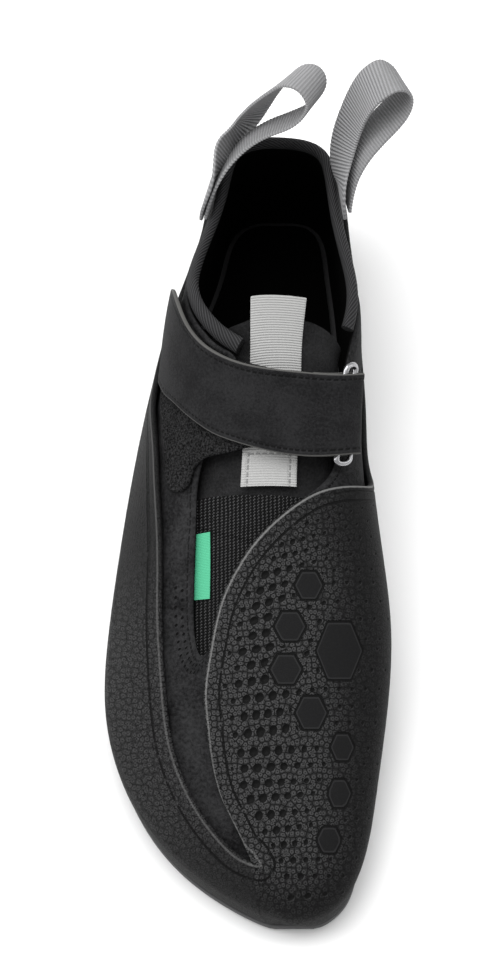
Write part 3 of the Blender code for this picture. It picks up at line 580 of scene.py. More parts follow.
# %% A socket that can be added, multiplied and compared
class Wire:
    def __init__(self, tree, socket):
        self.tree, self.socket = tree, socket

    def math(self, operation, *others):
        node = self.tree.nodes.new("ShaderNodeMath")
        node.operation = operation
        for place, value in zip(node.inputs, (self, *others)):
            if isinstance(value, Wire):
                self.tree.links.new(value.socket, place)
            else:
                place.default_value = value
        return Wire(self.tree, node.outputs[0])

    def __add__(self, other):
        return self.math("ADD", other)

    def __mul__(self, other):
        return self.math("MULTIPLY", other)

    def __sub__(self, other):
        return self.math("SUBTRACT", other)

    def __rsub__(self, other):
        return (self * -1) + other

    def __truediv__(self, other):
        return self.math("DIVIDE", other)

    def __gt__(self, other):
        return self.math("GREATER_THAN", other)

    def __abs__(self):
        return self.math("ABSOLUTE")

    def wave(self, step=None):
        """A wave from 0 to 1 that repeats after each step, or after a full turn."""
        turned = self * (2 * math.pi / step) if step else self
        return turned.math("SINE") * 0.5 + 0.5

    def repeat(self):
        """The part past the last whole number, counted from the middle: -0.5 to 0.5."""
        return self.math("FRACT") - 0.5

    def rise(self, start, end):
        """0 below the start, 1 above the end and soft between."""
        node = self.tree.nodes.new("ShaderNodeMapRange")
        node.interpolation_type = "SMOOTHSTEP"
        self.tree.links.new(self.socket, node.inputs["Value"])
        rising = start < end
        for key, value in (("From Min", min(start, end)), ("From Max", max(start, end)),
                           ("To Min", 0 if rising else 1), ("To Max", 1 if rising else 0)):
            node.inputs[key].default_value = value
        return Wire(self.tree, node.outputs["Result"])


# %% A material
class Finish:
    """A material under a name, with its Principled shader."""

    def __init__(self, name, roughness=0.7, **sockets):
        self.material = bpy.data.materials.new(name)
        self.material.use_nodes = True
        self.tree = self.material.node_tree
        self.shader = self.tree.nodes["Principled BSDF"]
        self.shader.inputs["Roughness"].default_value = roughness
        for key, value in sockets.items():
            self.shader.inputs[key.replace("_", " ")].default_value = value

    def node(self, kind, out=0, settings=(), **sockets):
        """A node of a type, its settings first, then the values or links of its sockets."""
        node = self.tree.nodes.new("ShaderNode" + kind)
        for key, value in dict(settings).items():
            setattr(node, key, value)
        for key, value in sockets.items():
            self.join(node.inputs[key.replace("_", " ")], value)
        return Wire(self.tree, node.outputs[out])

    def join(self, place, value):
        if isinstance(value, Wire):
            self.tree.links.new(value.socket, place)
        elif isinstance(value, tuple) and len(value) == 3 and place.type == "RGBA":
            place.default_value = (*value, 1)
        else:
            place.default_value = value

    def map(self, name):
        """A flat map of the piece, as a place."""
        return self.node("UVMap", settings={"uv_map": name})

    def stock(self, name="stock"):
        """The two directions of a flat map: the stock's in metres, the photograph's in thousands
        of its pixels."""
        parts = self.tree.nodes.new("ShaderNodeSeparateXYZ")
        self.tree.links.new(self.map(name).socket, parts.inputs[0])
        return tuple(Wire(self.tree, parts.outputs[i]) * 0.1 for i in (0, 1))

    def value(self, name):
        """A number that the piece carries on its vertices."""
        return self.node("Attribute", "Fac", {"attribute_name": name})

    def noise(self, size, detail=3.0, rough=0.5):
        """Cloudy noise whose blots are about one size, in metres."""
        return self.node("TexNoise", "Fac", Vector=self.node("TexCoord", "Object"), Scale=1 / size,
                         Detail=detail, Roughness=rough)

    def cells(self, size, feature="F1", rough=1.0, vector=None, flat="3D"):
        """Cells of about one size, in units of the place: how far the middle or the edge is."""
        settings = {"voronoi_dimensions": flat, "feature": feature}
        return self.node("TexVoronoi", "Distance", settings, Scale=1 / size, Randomness=rough,
                         Vector=vector or self.node("TexCoord", "Object"))

    def mix(self, share, first, second):
        """From the first colour to the second as the share goes from 0 to 1."""
        node = self.tree.nodes.new("ShaderNodeMix")
        node.data_type = "RGBA"
        for place, value in ((0, share), (6, first), (7, second)):
            self.join(node.inputs[place], value)
        return Wire(self.tree, node.outputs[2])

    def done(self, colour, height=None, depth=0.0002, roughness=None):
        """Links what changes over the surface and gives back the material. Height is in units of
        the depth, which is in metres."""
        self.join(self.shader.inputs["Base Color"], colour)
        if roughness is not None:
            self.join(self.shader.inputs["Roughness"], roughness)
        if height is not None:
            node = self.node("Bump", 0, Height=height, Distance=depth)
            self.join(self.shader.inputs["Normal"], node)
        return self.material


# %% Patterns that several finishes share
LINING = (0.0014, 0.0014, 0.0014)


def tone(colour, factor):
    """A colour made lighter or darker."""
    return tuple(min(part * factor, 1) for part in colour)


def apart(side, tall):
    """How far a spot is from the middle of its cell."""
    return (side * side + tall * tall).math("SQRT")


def staggered(along, up, pitch, row):
    """How far the nearest spot of a staggered grid is."""
    side = (along / pitch + (up / row).math("FLOOR") * 0.5).repeat() * pitch
    return apart(side, (up / row).repeat() * row)


def stitches(off, along, pitch, thread, ends):
    """A line of stitches. Thread and ends each say where they fade out and where they are whole."""
    return abs(off).rise(*thread) * abs((along / pitch).repeat()).rise(*ends)


def nap(finish, size):
    """The grain of brushed microfibre, with softer blots under it."""
    grain = finish.noise(size, detail=6, rough=0.75)
    return grain, (grain - 0.5) * 0.9 + (finish.noise(0.010) - 0.5) * 0.45 + 0.5


def lined(finish, colour):
    """The colour on the outer face and the lining's on the inner one."""
    return finish.mix(finish.value("face").rise(0.2, -0.4), colour, LINING)


def grained(name, roughness, gloss, size, dark, pale):
    """A plain finish with a fine grain between two colours."""
    finish = Finish(name, roughness=roughness, Specular_IOR_Level=gloss)
    grain = finish.noise(size, detail=5)
    return finish.done(finish.mix(grain, dark, pale), height=grain, depth=0.0001)

# %% [markdown]
# ## The upper
# The body of the shoe is thin black microfibre with a soft nap. It starts under the edge of the
# sole, wraps the foot and ends at the rim of the collar and the throat, where its edge is folded in
# and stitched. It is one sheet on the last: the relief sinks the stitched line and lays soft creases
# where the shoe bends, and the nap is only in the material, since it is finer than any mesh.

# %% The upper's rim
UPPER_RIM = (
    (0.000, 0.033, 0.816, 0.000), (-0.112, 0.042, 0.809, 0.030), (-0.192, 0.066, 0.789, 0.065),
    (-0.236, 0.120, 0.757, 0.120), (-0.288, 0.180, 0.757, 0.180), (-0.323, 0.247, 0.803, 0.235),
    (-0.333, 0.270, 0.855, 0.265), (-0.314, 0.296, 0.888, 0.290), (-0.279, 0.319, 0.914, 0.310),
    (-0.223, 0.341, 0.939, 0.330), (-0.164, 0.358, 0.958, 0.350), (-0.186, 0.384, 0.908, 0.380),
    (-0.254, 0.431, 0.789, 0.420), (-0.310, 0.468, 0.671, 0.460), (-0.335, 0.525, 0.586, 0.520),
    (-0.347, 0.605, 0.500, 0.610), (-0.347, 0.670, 0.447, 0.720), (-0.319, 0.699, 0.441, 0.840),
    (-0.275, 0.685, 0.471, 0.920), (-0.242, 0.655, 0.513, 0.970), (-0.212, 0.630, 0.549, 1.000),
    (-0.150, 0.597, 0.608, 1.040), (-0.078, 0.569, 0.666, 1.100), (-0.007, 0.549, 0.709, 1.180),
    (0.084, 0.528, 0.741, 1.280), (0.165, 0.511, 0.750, 1.370), (0.220, 0.485, 0.743, 1.460),
    (0.239, 0.446, 0.770, 1.540), (0.252, 0.397, 0.816, 1.600), (0.268, 0.353, 0.855, 1.655),
    (0.283, 0.315, 0.875, 1.700), (0.288, 0.260, 0.855, 1.745), (0.275, 0.200, 0.796, 1.800),
    (0.239, 0.140, 0.763, 1.860), (0.205, 0.088, 0.783, 1.915), (0.161, 0.056, 0.803, 1.950),
    (0.093, 0.038, 0.813, 1.980),
)

# %% Microfibre of the upper
# Distances in the finishes are in millimetres
HOLE_PITCH, HOLE_ROW = 3.6, 2.4
RIM_STITCH_IN, RIM_STITCH = 1.9, 2.6

# Depths in the mesh, in metres
FOLD_DEPTH = 0.00035
RIM_STITCH_DEPTH = 0.00022
CREASE_DEPTH = 0.0005
ANKLE_DEPTH = 0.0006


def upper_fabric():
    """Microfibre with punched holes beside the throat and a line of stitches along the rim."""
    finish = Finish("microfibre", roughness=0.8, Specular_IOR_Level=0.07)
    grain, shade = nap(finish, 0.0011)
    rim, along = finish.value("rim") * 1000, finish.value("along") * 1000
    holes = staggered(along, rim, HOLE_PITCH, HOLE_ROW).rise(0.62, 0.42) * finish.value("slot")
    stitch = stitches(rim - RIM_STITCH_IN, along, RIM_STITCH, (0.34, 0.18), (0.36, 0.30))
    pale = finish.mix(shade.rise(0.25, 0.75), (0.0022, 0.0022, 0.0024), (0.0270, 0.0270, 0.0280))
    hidden = (holes + stitch * 0.7).math("MINIMUM", 1.0)
    dark = finish.mix(hidden, pale, (0.0020, 0.0020, 0.0020))
    return finish.done(lined(finish, dark), height=grain - holes * 3 + stitch * 1.2, depth=0.00014)


upper_rim, upper_foot = rim_and_foot(UPPER_RIM, 620 if FINE else 300)


# %% The upper in place
def upper_relief(place):
    """A folded edge with a stitched line, and soft creases at heel, ankle, waist and toes."""
    x, y, z = np.moveaxis(place["points"], -1, 0)
    down = place["down"]
    fold = -FOLD_DEPTH * step_up(down, 0.0013, 0.0004)
    fold = fold - RIM_STITCH_DEPTH * bump(down, RIM_STITCH_IN / 1000, 0.0006)
    heel = bump(y, 0.168, 0.014) * bump(z, 0.052 + 0.03 * x, 0.0035)
    ankle = bump(y, 0.118 - 0.25 * (z - 0.05), 0.0045) * step_up(z, 0.030, 0.045)
    waist = bump(y + 0.4 * (z - 0.03), 0.048, 0.0050) * step_up(z, 0.020, 0.032)
    toes = bump(y + 0.2 * x, -0.002, 0.0040) * step_up(z, 0.018, 0.030)
    creases = CREASE_DEPTH * (heel + waist + toes) + ANKLE_DEPTH * ankle
    return fold - creases


def upper_marks(place):
    """How far the rim is and how far along it, and where the throat's punched holes are."""
    x, y = np.moveaxis(place["seen"], -1, 0)
    down, along = place["down"], place["along"]
    outer = (along < 0.6 * along.max()) & (x < 215)
    slot = outer * step_up(y, 575, 590) * step_up(y, 690, 672) * step_up(down, 0.0024, 0.0026)
    return {"rim": down, "along": along, "slot": slot * step_up(down, 0.0074, 0.0072)}


shell("upper_shell", "upper", upper_foot, upper_rim, 0.0, UPPER_WALL, 84 if FINE else 50,
      upper_fabric(), inside=20, around=True, on_sole=True, relief=upper_relief, marks=upper_marks,
      fringe=np.linspace(0, 0.0055, 12))

# %% [markdown]
# ## Rubber
# A band of rubber runs round the shoe above the sole, and a patch of it climbs over the toes. Both
# are one moulded sheet, 2 mm thick with a bevelled lip: a fine groove runs inside its edge, the
# field is pebbled, and the patch has rows of dimples and a few flat hexagons. Dimples and hexagons
# are placed by tables in the photograph's own pixels, since they were read there, and the mesh
# carries them as distances. The relief sinks the lip, the groove, the dimples and the hexagons,
# and the material sharpens them with the same distances and paints light and shade on them: painted
# shade in the groove, the dimples and the ditches round the hexagons, and a painted highlight on one
# side of each dimple and on the hexagons' bevels. The pebbling is only in the material, with a
# painted highlight on each pebble's ring and painted shade round it, and it is painted strongest on
# the outer side and fainter on the inner side, at the toe and at the top of the patch, as painted
# side light.

# %% The rubber's rim
RUBBER_RIM = (
    (0.000, 0.008, 0.500, 0.000), (-0.143, 0.020, 0.474, 0.025), (-0.254, 0.070, 0.434, 0.070),
    (-0.323, 0.140, 0.395, 0.140), (-0.397, 0.220, 0.368, 0.220), (-0.447, 0.300, 0.362, 0.300),
    (-0.467, 0.345, 0.395, 0.345), (-0.471, 0.372, 0.434, 0.380), (-0.468, 0.408, 0.474, 0.410),
    (-0.459, 0.468, 0.487, 0.465), (-0.453, 0.562, 0.446, 0.560), (-0.460, 0.637, 0.395, 0.630),
    (-0.455, 0.713, 0.355, 0.700), (-0.447, 0.764, 0.325, 0.760), (-0.422, 0.819, 0.292, 0.820),
    (-0.354, 0.879, 0.268, 0.880), (-0.274, 0.917, 0.255, 0.920), (-0.196, 0.945, 0.243, 0.950),
    (-0.119, 0.961, 0.238, 0.975), (-0.062, 0.963, 0.245, 0.990), (-0.093, 0.950, 0.258, 1.000),
    (-0.150, 0.932, 0.272, 1.010), (-0.199, 0.902, 0.296, 1.030), (-0.243, 0.873, 0.312, 1.050),
    (-0.275, 0.833, 0.339, 1.070), (-0.294, 0.791, 0.372, 1.100), (-0.299, 0.742, 0.412, 1.130),
    (-0.275, 0.700, 0.457, 1.170), (-0.212, 0.630, 0.549, 1.230), (-0.150, 0.597, 0.608, 1.270),
    (-0.078, 0.569, 0.666, 1.320), (-0.007, 0.549, 0.709, 1.360), (0.084, 0.528, 0.741, 1.400),
    (0.165, 0.513, 0.745, 1.430), (0.243, 0.504, 0.711, 1.460), (0.310, 0.493, 0.613, 1.490),
    (0.339, 0.473, 0.526, 1.520), (0.335, 0.440, 0.447, 1.555), (0.320, 0.390, 0.401, 1.610),
    (0.304, 0.330, 0.375, 1.670), (0.285, 0.250, 0.368, 1.750), (0.261, 0.170, 0.395, 1.830),
    (0.217, 0.090, 0.434, 1.910), (0.136, 0.030, 0.480, 1.970),
)
RUBBER_GAP = 0.00090
GROOVE_IN = 0.0043
GROOVE_DEPTH = 0.00035
BEVEL_IN = 0.0009
BEVEL_DEPTH = 0.0003
DIMPLE_DEPTH = 0.00012
HEXAGON_SUNK = 0.0002

# A pebble in hundreds of the photograph's pixels, and the pinholes' grid in millimetres
PEBBLE = 0.053
SPECK_PITCH, SPECK_ROW = 2.2, 1.7

# %% Patch, hexagons and dimples, in the photograph's pixels
# The toe patch's left edge, as y and x in the photograph
PATCH_EDGE = ((505, 262), (560, 222), (640, 196), (740, 192), (800, 206), (868, 252), (930, 262))

# Middle x and y, width and height of each hexagon, in the photograph's pixels
HEXAGONS = (
    (309.0, 585.5, 31, 30), (290.0, 626.5, 34.5, 31.5), (286.0, 669.5, 35, 32),
    (339.6, 651.0, 48.5, 59.5), (311.4, 713.0, 34.5, 35), (342.6, 747.4, 26, 29),
    (339.7, 793.6, 26, 30), (329.3, 840.2, 27.5, 28),
)

# First x and y, last x and y and the count of each row of dimples
DIMPLES = (
    (318, 512, 334, 508, 3), (296, 526, 318, 520, 3), (282, 545, 314, 536, 4),
    (274, 558, 317, 548, 5), (253, 578, 302, 565, 5), (248, 594, 285, 584, 4),
    (243, 610, 282, 598, 4), (240, 624, 268, 617, 3), (239, 639, 266, 633, 3),
    (229, 653, 270, 647, 4), (237, 668, 265, 662, 3), (225, 686, 265, 679, 4),
    (233, 701, 286, 694, 5), (232, 718, 280, 712, 5), (235, 735, 286, 728, 5),
    (228, 754, 317, 749, 8), (231, 769, 324, 764, 8), (231, 786, 319, 780, 8),
    (238, 800, 313, 793, 7), (247, 817, 319, 810, 7), (265, 832, 311, 825, 5),
    (273, 846, 306, 842, 4), (281, 861, 306, 860, 3), (287, 876, 315, 876, 3),
    (291, 898, 308, 896, 2),
)

# The x of a dimple and its radius there, the usual pitch across and down, and the least radius
DIMPLE_SIZES = ((225, 3.0), (238, 3.8), (254, 4.4), (275, 4.2), (300, 2.9), (320, 2.1), (345, 1.7),
                (392, 1.3))
DIMPLE_PITCH = (13.4, 15.9)
LEAST_DIMPLE = 0.6
FAR_OUTSIDE = -30.0


def patch_edge(y):
    """The photograph's x of the toe patch's left edge."""
    heights, edges = np.array(PATCH_EDGE, float).T
    return np.interp(y, heights, edges)


def hexagon_depth(x, y):
    """How far inside the nearest hexagon a spot is, in pixels. Below 0 is outside."""
    best = np.full(x.shape, FAR_OUTSIDE)
    for mid_x, mid_y, wide, high in HEXAGONS:
        across, down = np.abs(x - mid_x), np.abs(y - mid_y)
        level = np.maximum(down / (high / 2), across / (wide / 2) + down / high)
        best = np.maximum(best, (1 - level) * high / 2)
    return best


def dimple_grid(x, y):
    """Two numbers that are whole at the middle of each dimple, and the dimple's radius there."""
    table = np.array(DIMPLES, float)
    slope = (table[:, 3] - table[:, 1]) / (table[:, 2] - table[:, 0])
    pitch = (table[:, 2] - table[:, 0]) / (table[:, 4] - 1)
    down = np.full(x.shape, -1.0)
    lines = [table[i, 1] + slope[i] * np.clip(x - table[i, 0], -10, 90) for i in range(len(table))]
    down += np.clip((y - lines[0] + 14) / 14, 0, 1)
    for upper_line, lower_line in zip(lines, lines[1:]):
        down += np.clip((y - upper_line) / np.maximum(lower_line - upper_line, 5), 0, 1)
    down += np.clip((y - lines[-1]) / 16, 0, 1)
    row = np.clip(np.rint(down), 0, len(table) - 1).astype(int)
    across = (x - table[row, 0]) / pitch[row]
    sizes = np.array(DIMPLE_SIZES, float)
    size = np.interp(x, sizes[:, 0], sizes[:, 1])
    size = size * np.where(across < 0.5, 0.72, 1) * (across > -0.55)
    return across, down, size * (np.abs(down - len(table) / 2) < len(table) / 2 + 0.4)


# %% What the rubber's mesh carries
def rubber_marks(place):
    """The distances that the rubber's finish is drawn from."""
    x, y = np.moveaxis(place["seen"], -1, 0)
    rim = from_curve(place["points"], place["lip"])
    facing = -(place["ways"] @ view_way)
    patch = step_up(patch_edge(y) - x, 4, -4) * step_up(facing, 0.05, 0.25)
    across, down, size = dimple_grid(x, y)
    size = size * (patch > 0.5) * (rim > GROOVE_IN + 0.0012) * (facing > 0.2) * (y < 906) * (y > 500)
    hexes = np.where(patch > 0.5, hexagon_depth(x, y), FAR_OUTSIDE)
    size = size * (hexes < -3.5)
    specks = step_up(y, 392, 410) * step_up(y, 560, 520) * step_up(x, 170, 160)
    specks = specks * step_up(rim, 0.0055, 0.0065)
    # Painted side light: the pebbling is whole on the outer side and fades towards the inner side, the toe
    # and the top of the patch, so it also paints light on the outer side and shade on the inner side; on
    # the band beside the patch it is added where the band faces the camera.
    pebbles_and_side_light = patch * (0.15 + 0.85 * step_up(x, 368, 290)) * (0.25 + 0.75 * step_up(y, 915, 840))
    pebbles_and_side_light = pebbles_and_side_light * (0.55 + 0.45 * step_up(y, 505, 600))
    beside = (1 - patch) * 0.4 * step_up(y, 520, 660) * step_up(facing, 0.3, 0.55)
    pebbles_and_side_light = pebbles_and_side_light + beside * (0.2 + 0.8 * step_up(y, 900, 800))
    cut = 0.26 + 0.46 * patch * (0.25 + 0.75 * step_up(y, 780, 660))
    return {"rim": rim, "patch": patch, "across": across, "down": down, "size": size,
            "hexes": hexes, "specks": specks, "pebbles_and_side_light": pebbles_and_side_light, "cut": cut}


# %% Rubber
def rubber():
    """Black rubber: pebble grain, dimples, hexagons, pinholes, a groove and a paler cut edge, with
    painted shade in the dimples, groove and ditches, painted highlights on each pebble, dimple and bevel,
    and a pebble grain painted lighter on the outer side as painted side light.
    """
    finish = Finish("rubber", Specular_IOR_Level=0.10)
    rim, patch, hexes = finish.value("rim") * 1000, finish.value("patch"), finish.value("hexes")
    size, pebbles_and_side_light = finish.value("size"), finish.value("pebbles_and_side_light")
    side, tall = ((finish.value(key) + 0.5).repeat() * pitch
                  for key, pitch in zip(("across", "down"), DIMPLE_PITCH))
    radius, is_dimple = size.math("MAXIMUM", 0.4), size > LEAST_DIMPLE
    out = apart(side, tall) / radius
    # Painted shade: each dimple's bowl is painted dark, and the next line paints a highlight crescent on
    # one side of it.
    dimple = out.rise(1.12, 0.90) * is_dimple
    painted_highlight = ((side + tall) / radius).rise(0.5, 1.6) * out.rise(1.7, 1.15) * is_dimple
    # Painted shade: the groove inside the lip is painted dark, besides being sunk by the bump.
    groove = abs(rim - GROOVE_IN * 1000).rise(0.46, 0.16) * finish.noise(0.004).rise(0.30, 0.42)
    flat = hexes.rise(-1.0, 0.4)
    # Painted shade in the ditch round each hexagon and a painted highlight on its bevel.
    ditch = abs(hexes - 0.2).rise(1.5, 0.6)
    bevel = abs(hexes - 2.4).rise(1.2, 0.4)
    edge, middle = (finish.cells(PEBBLE, feature, 0.85, finish.map("photo"), "2D")
                    for feature in ("DISTANCE_TO_EDGE", "F1"))
    outline = edge.rise(0.12, 0.02)
    ring = abs(middle - 0.27).rise(0.17, 0.04)
    dot = middle.rise(0.13, 0.05)
    pebbling_and_side_light = pebbles_and_side_light * flat.rise(0.9, 0.2) * dimple.rise(0.9, 0.1)
    crackle = finish.cells(0.0011, "DISTANCE_TO_EDGE", 1.0).rise(0.10, 0.02) * (1 - patch)
    along, up = (part * 1000 for part in finish.stock())
    speck = finish.value("specks") * staggered(along, up, SPECK_PITCH, SPECK_ROW).rise(0.48, 0.28)
    fine = finish.noise(0.0006, detail=6, rough=0.8)
    grain = (fine - 0.5) * 0.9
    # Painted light and shade of the pebble relief: a painted highlight on each ring, painted shade on each
    # outline and middle, and the whole pebbling lifted, most on the outer side.
    body = pebbling_and_side_light * (ring * 0.58 - outline * 0.42 - dot * 0.20 + 0.34) * (1 - groove)
    shade = grain + 0.12 + (1 - patch) * 0.18 - crackle * 0.20 + body
    colour = finish.mix(shade.rise(0.0, 1.0), (0.0010, 0.0010, 0.0011), (0.0400, 0.0400, 0.0405))
    smooth = finish.mix(fine, (0.0045, 0.0045, 0.0048), (0.0080, 0.0080, 0.0084))
    colour = finish.mix(flat * 0.75, colour, smooth)
    # Painted highlights on one side of each dimple and on the hexagons' bevels.
    painted_highlight = (painted_highlight * 0.30 + bevel * 0.20).math("MINIMUM", 1.0)
    colour = finish.mix(painted_highlight, colour, (0.0500, 0.0500, 0.0510))
    # Painted shade in the dimples, the groove and the hexagons' ditches; the pinholes are darkened as
    # well.
    dark = (dimple * 0.97 + groove * 0.90 + ditch * 0.95 + speck * 0.8).math("MINIMUM", 1.0)
    colour = finish.mix(dark, colour, (0.0010, 0.0010, 0.0010))
    cut = rim.rise(0.50, 0.12) * finish.value("face").rise(0.0, 0.6) * finish.value("cut")
    colour = finish.mix(cut, colour, (0.1700, 0.1700, 0.1680))
    height = (ring * 0.5 - outline * 0.8 - dot * 0.3) * pebbling_and_side_light + fine * 0.45
    height = height - crackle * 0.4 - groove * 1.5 - ditch + bevel * 0.2 - speck
    height = height - dimple * 1.3 * (1 - (out * out).math("MINIMUM", 1.0) * 0.7)
    return finish.done(colour, height, 0.00020, shade * -0.12 + 0.64)


# %% The rubber in place
def denser(rim, foot, count):
    """Picks columns from a fine list: three times as many along the patch's edge as elsewhere."""
    x, y = in_photo(rim).T
    on_patch = (x > patch_edge(np.minimum(y, PATCH_EDGE[-2][0])) - 4) & (y > 484)
    total = np.cumsum(np.where(on_patch, 3.0, 1.0))
    picked = np.searchsorted(total, np.linspace(total[0], total[-1], count, endpoint=False))
    return rim[picked], foot[picked]


rubber_rim, rubber_foot = denser(*rim_and_foot(RUBBER_RIM, 4200), 700 if FINE else 330)


def rubber_relief(place):
    """A bevelled lip with a groove inside it, a bowl at each dimple and sunk hexagons."""
    down, told = place["down"], rubber_marks(place)
    lip = BEVEL_DEPTH * step_up(down, BEVEL_IN, 0.0)
    lip = lip + GROOVE_DEPTH * bump(down, GROOVE_IN, 0.00035)
    side, tall = (((told[key] + 0.5) % 1 - 0.5) * pitch
                  for key, pitch in zip(("across", "down"), DIMPLE_PITCH))
    size = told["size"]
    out = np.hypot(side, tall) / (1.3 * np.maximum(size, 0.4))
    bowl = np.clip(1 - out**2, 0, 1) * (size > LEAST_DIMPLE) * size
    ditch = step_up(told["hexes"], -2.0, 1.5) + bump(told["hexes"], -0.3, 1.8)
    return -lip - DIMPLE_DEPTH * bowl - HEXAGON_SUNK * ditch


near = UPPER_WALL + RUBBER_GAP
shell("rubber_band", "rubber_rand", rubber_foot, rubber_rim, near, near + RUBBER_WALL,
      96 if FINE else 44, rubber(), around=True, on_sole=True, relief=rubber_relief,
      marks=rubber_marks,
      fringe=(0, 0.0004, 0.0009, 0.0020, 0.0032, 0.0037, 0.0040, 0.0043, 0.0046, 0.0050, 0.0056))

# %% [markdown]
# ## The sole and the board on it
# The sole is a plate of black climbing rubber. Its outline is the foot's, its edge is ground round
# and it follows the arch. Inside lies a thin board with a lining.

# %% Two plates with rounded edges
SOLE_MARGIN = 0.0003
INSOLE_THICKNESS = 0.0020
INSOLE_INSET = 0.0016
PLATE_ROW = 0.003


def plate(name, node, outset, lower, thickness, edge, count, material):
    """A plate inside the foot's outline, moved out by some distance. It follows the sole's lift."""
    ring = foot_points(np.linspace(0, 2, count, endpoint=False))[:, :2]
    ahead = np.roll(ring, -1, axis=0) - np.roll(ring, 1, axis=0)
    side = unit(np.stack([ahead[:, 1], -ahead[:, 0]], axis=1))
    ring = ring + side * outset
    bm = bmesh.new()
    bmesh.ops.create_circle(bm, cap_ends=True, segments=count, radius=1)
    for vert, spot in zip(bm.verts, ring):
        vert.co = (*spot, 0)
    made = bmesh.ops.extrude_face_region(bm, geom=bm.faces[:])["geom"]
    for vert in (item for item in made if isinstance(item, bmesh.types.BMVert)):
        vert.co.z = thickness
    bmesh.ops.recalc_face_normals(bm, faces=bm.faces)
    rims = [rim for rim in bm.edges if abs(rim.verts[0].co.z - rim.verts[1].co.z) < TINY]
    bmesh.ops.bevel(bm, geom=rims, offset=edge, offset_type="OFFSET", segments=4, profile=0.5,
                    affect="EDGES", material=-1, clamp_overlap=True)
    front, rear = ring[:, 1].min() + PLATE_ROW, ring[:, 1].max() - 0.002
    for y in np.arange(front, rear, PLATE_ROW):
        everything = bm.verts[:] + bm.edges[:] + bm.faces[:]
        bmesh.ops.bisect_plane(bm, geom=everything, dist=SAME_SPOT, plane_co=(0, y, 0), plane_no=(0, 1, 0))
    for vert in bm.verts:
        vert.co.z += lower + float(sole_lift(np.array([vert.co.y]))[0])
    mesh = bpy.data.meshes.new(name)
    bm.to_mesh(mesh)
    bm.free()
    mesh.shade_smooth()
    mesh.set_sharp_from_angle(angle=math.radians(50))
    obj = bpy.data.objects.new(name, mesh)
    bpy.context.scene.collection.objects.link(obj)
    return keep(obj, node, material)


outset = UPPER_WALL + RUBBER_GAP + RUBBER_WALL + SOLE_MARGIN
plate("sole_plate", "outsole", outset, 0.0, SOLE_THICKNESS, 0.0009, 240,
      grained("sole_rubber", 0.5, 0.35, 0.0008, (0.010, 0.010, 0.011), (0.024, 0.024, 0.025)))
plate("foot_board", "insole", -INSOLE_INSET, SOLE_THICKNESS + SEAT, INSOLE_THICKNESS, 0.0006, 160,
      grained("lining", 0.9, 0.03, 0.0009, (0.0008, 0.0008, 0.0008), LINING))

# %% [markdown]
# ## The padded roll on the collar
# The rim of the collar is a strip of ribbed elastic folded round a cord of foam. Its diagonal ribs
# are a wave in the material, in the roll's own flat map.

# %% A roll round the rim
BINDING_WIDTH = 0.0056
BINDING_HALF = 0.0018
BINDING_RAISE = -0.0012
BINDING_GAP = 0.0006
BINDING_ROWS = (30, 10)
BINDING_TURN = 0.0028
TWILL_RIB = 0.0017


def twill(name, colour):
    """Diagonal ribs of a twill tape."""
    finish = Finish(name, roughness=0.8, Specular_IOR_Level=0.08)
    along, across = finish.stock()
    ribs = (along + across * 1.3).wave(TWILL_RIB)
    share = ribs * 0.7 + finish.noise(0.0005, detail=4) * 0.3
    cloth = finish.mix(share, tone(colour, 0.35), tone(colour, 1.9))
    return finish.done(cloth, height=ribs, depth=0.0003)


rim, _ = rim_and_foot(UPPER_RIM, 960)
marks = in_metres(UPPER_RIM)
first, last = (int(np.argmin(np.linalg.norm(rim - marks[row], axis=1))) for row in BINDING_ROWS)
path = np.concatenate([rim[first:], rim[: last + 1]])
along = travel(path)[::12]
path = natural_spline(along, path[::12], np.linspace(0, along[-1], 420))
starts, ways = aim(path)
points, out = on_last((starts[None], ways[None]))
points, out = points[0], out[0]
away = unit(np.cross(out, unit(np.gradient(points, axis=0))))
turns = np.linspace(0, 2 * math.pi, 28, endpoint=False)
shares = np.repeat((0.5 - 0.5 * np.cos(turns))[:, None], len(path), axis=1)
edges = (aim(points + away * off) for off in (BINDING_GAP, BINDING_GAP + BINDING_WIDTH))
base, ways = on_last(blend(*edges, shares))
level = (UPPER_WALL / 2 + BINDING_RAISE + BINDING_HALF * np.sin(turns))[:, None, None]
flat = (travel(points), turns[:, None] * BINDING_TURN)
flat = np.stack([np.broadcast_to(part, shares.shape) for part in flat], axis=-1)
collar = keep(piece("collar_roll", base + ways * level, flat), "collar_binding",
              twill("collar_twill", (0.026, 0.026, 0.027)))

# %% [markdown]
# ## Tongue, gusset, label and tab
# Under the strap lies a padded tongue of smooth fabric. A ribbed elastic gusset closes the throat
# below it, with a small woven label at its side, and a folded webbing tab is stitched on the tongue.

# %% Edges of tongue, gusset, tab and label
TONGUE_OUTER = (
    (-0.298, 0.326, 0.876), (-0.323, 0.366, 0.789), (-0.347, 0.431, 0.684), (-0.366, 0.498, 0.572),
    (-0.347, 0.557, 0.526),
)
TONGUE_INNER = (
    (0.279, 0.335, 0.806), (0.279, 0.370, 0.784), (0.279, 0.431, 0.711), (0.254, 0.500, 0.658),
    (0.161, 0.560, 0.671),
)
GUSSET_OUTER = (
    (-0.372, 0.503, 0.559), (-0.385, 0.556, 0.507), (-0.391, 0.605, 0.461), (-0.388, 0.654, 0.421),
    (-0.366, 0.693, 0.395), (-0.329, 0.718, 0.395),
)
GUSSET_INNER = (
    (0.199, 0.524, 0.724), (0.087, 0.559, 0.697), (-0.012, 0.583, 0.658), (-0.105, 0.620, 0.592),
    (-0.180, 0.664, 0.513), (-0.254, 0.707, 0.434),
)
TAB_OUTER = (
    (-0.110, 0.307, 1.132), (-0.117, 0.349, 1.039), (-0.120, 0.385, 0.934), (-0.133, 0.443, 0.796),
    (-0.146, 0.504, 0.698),
)
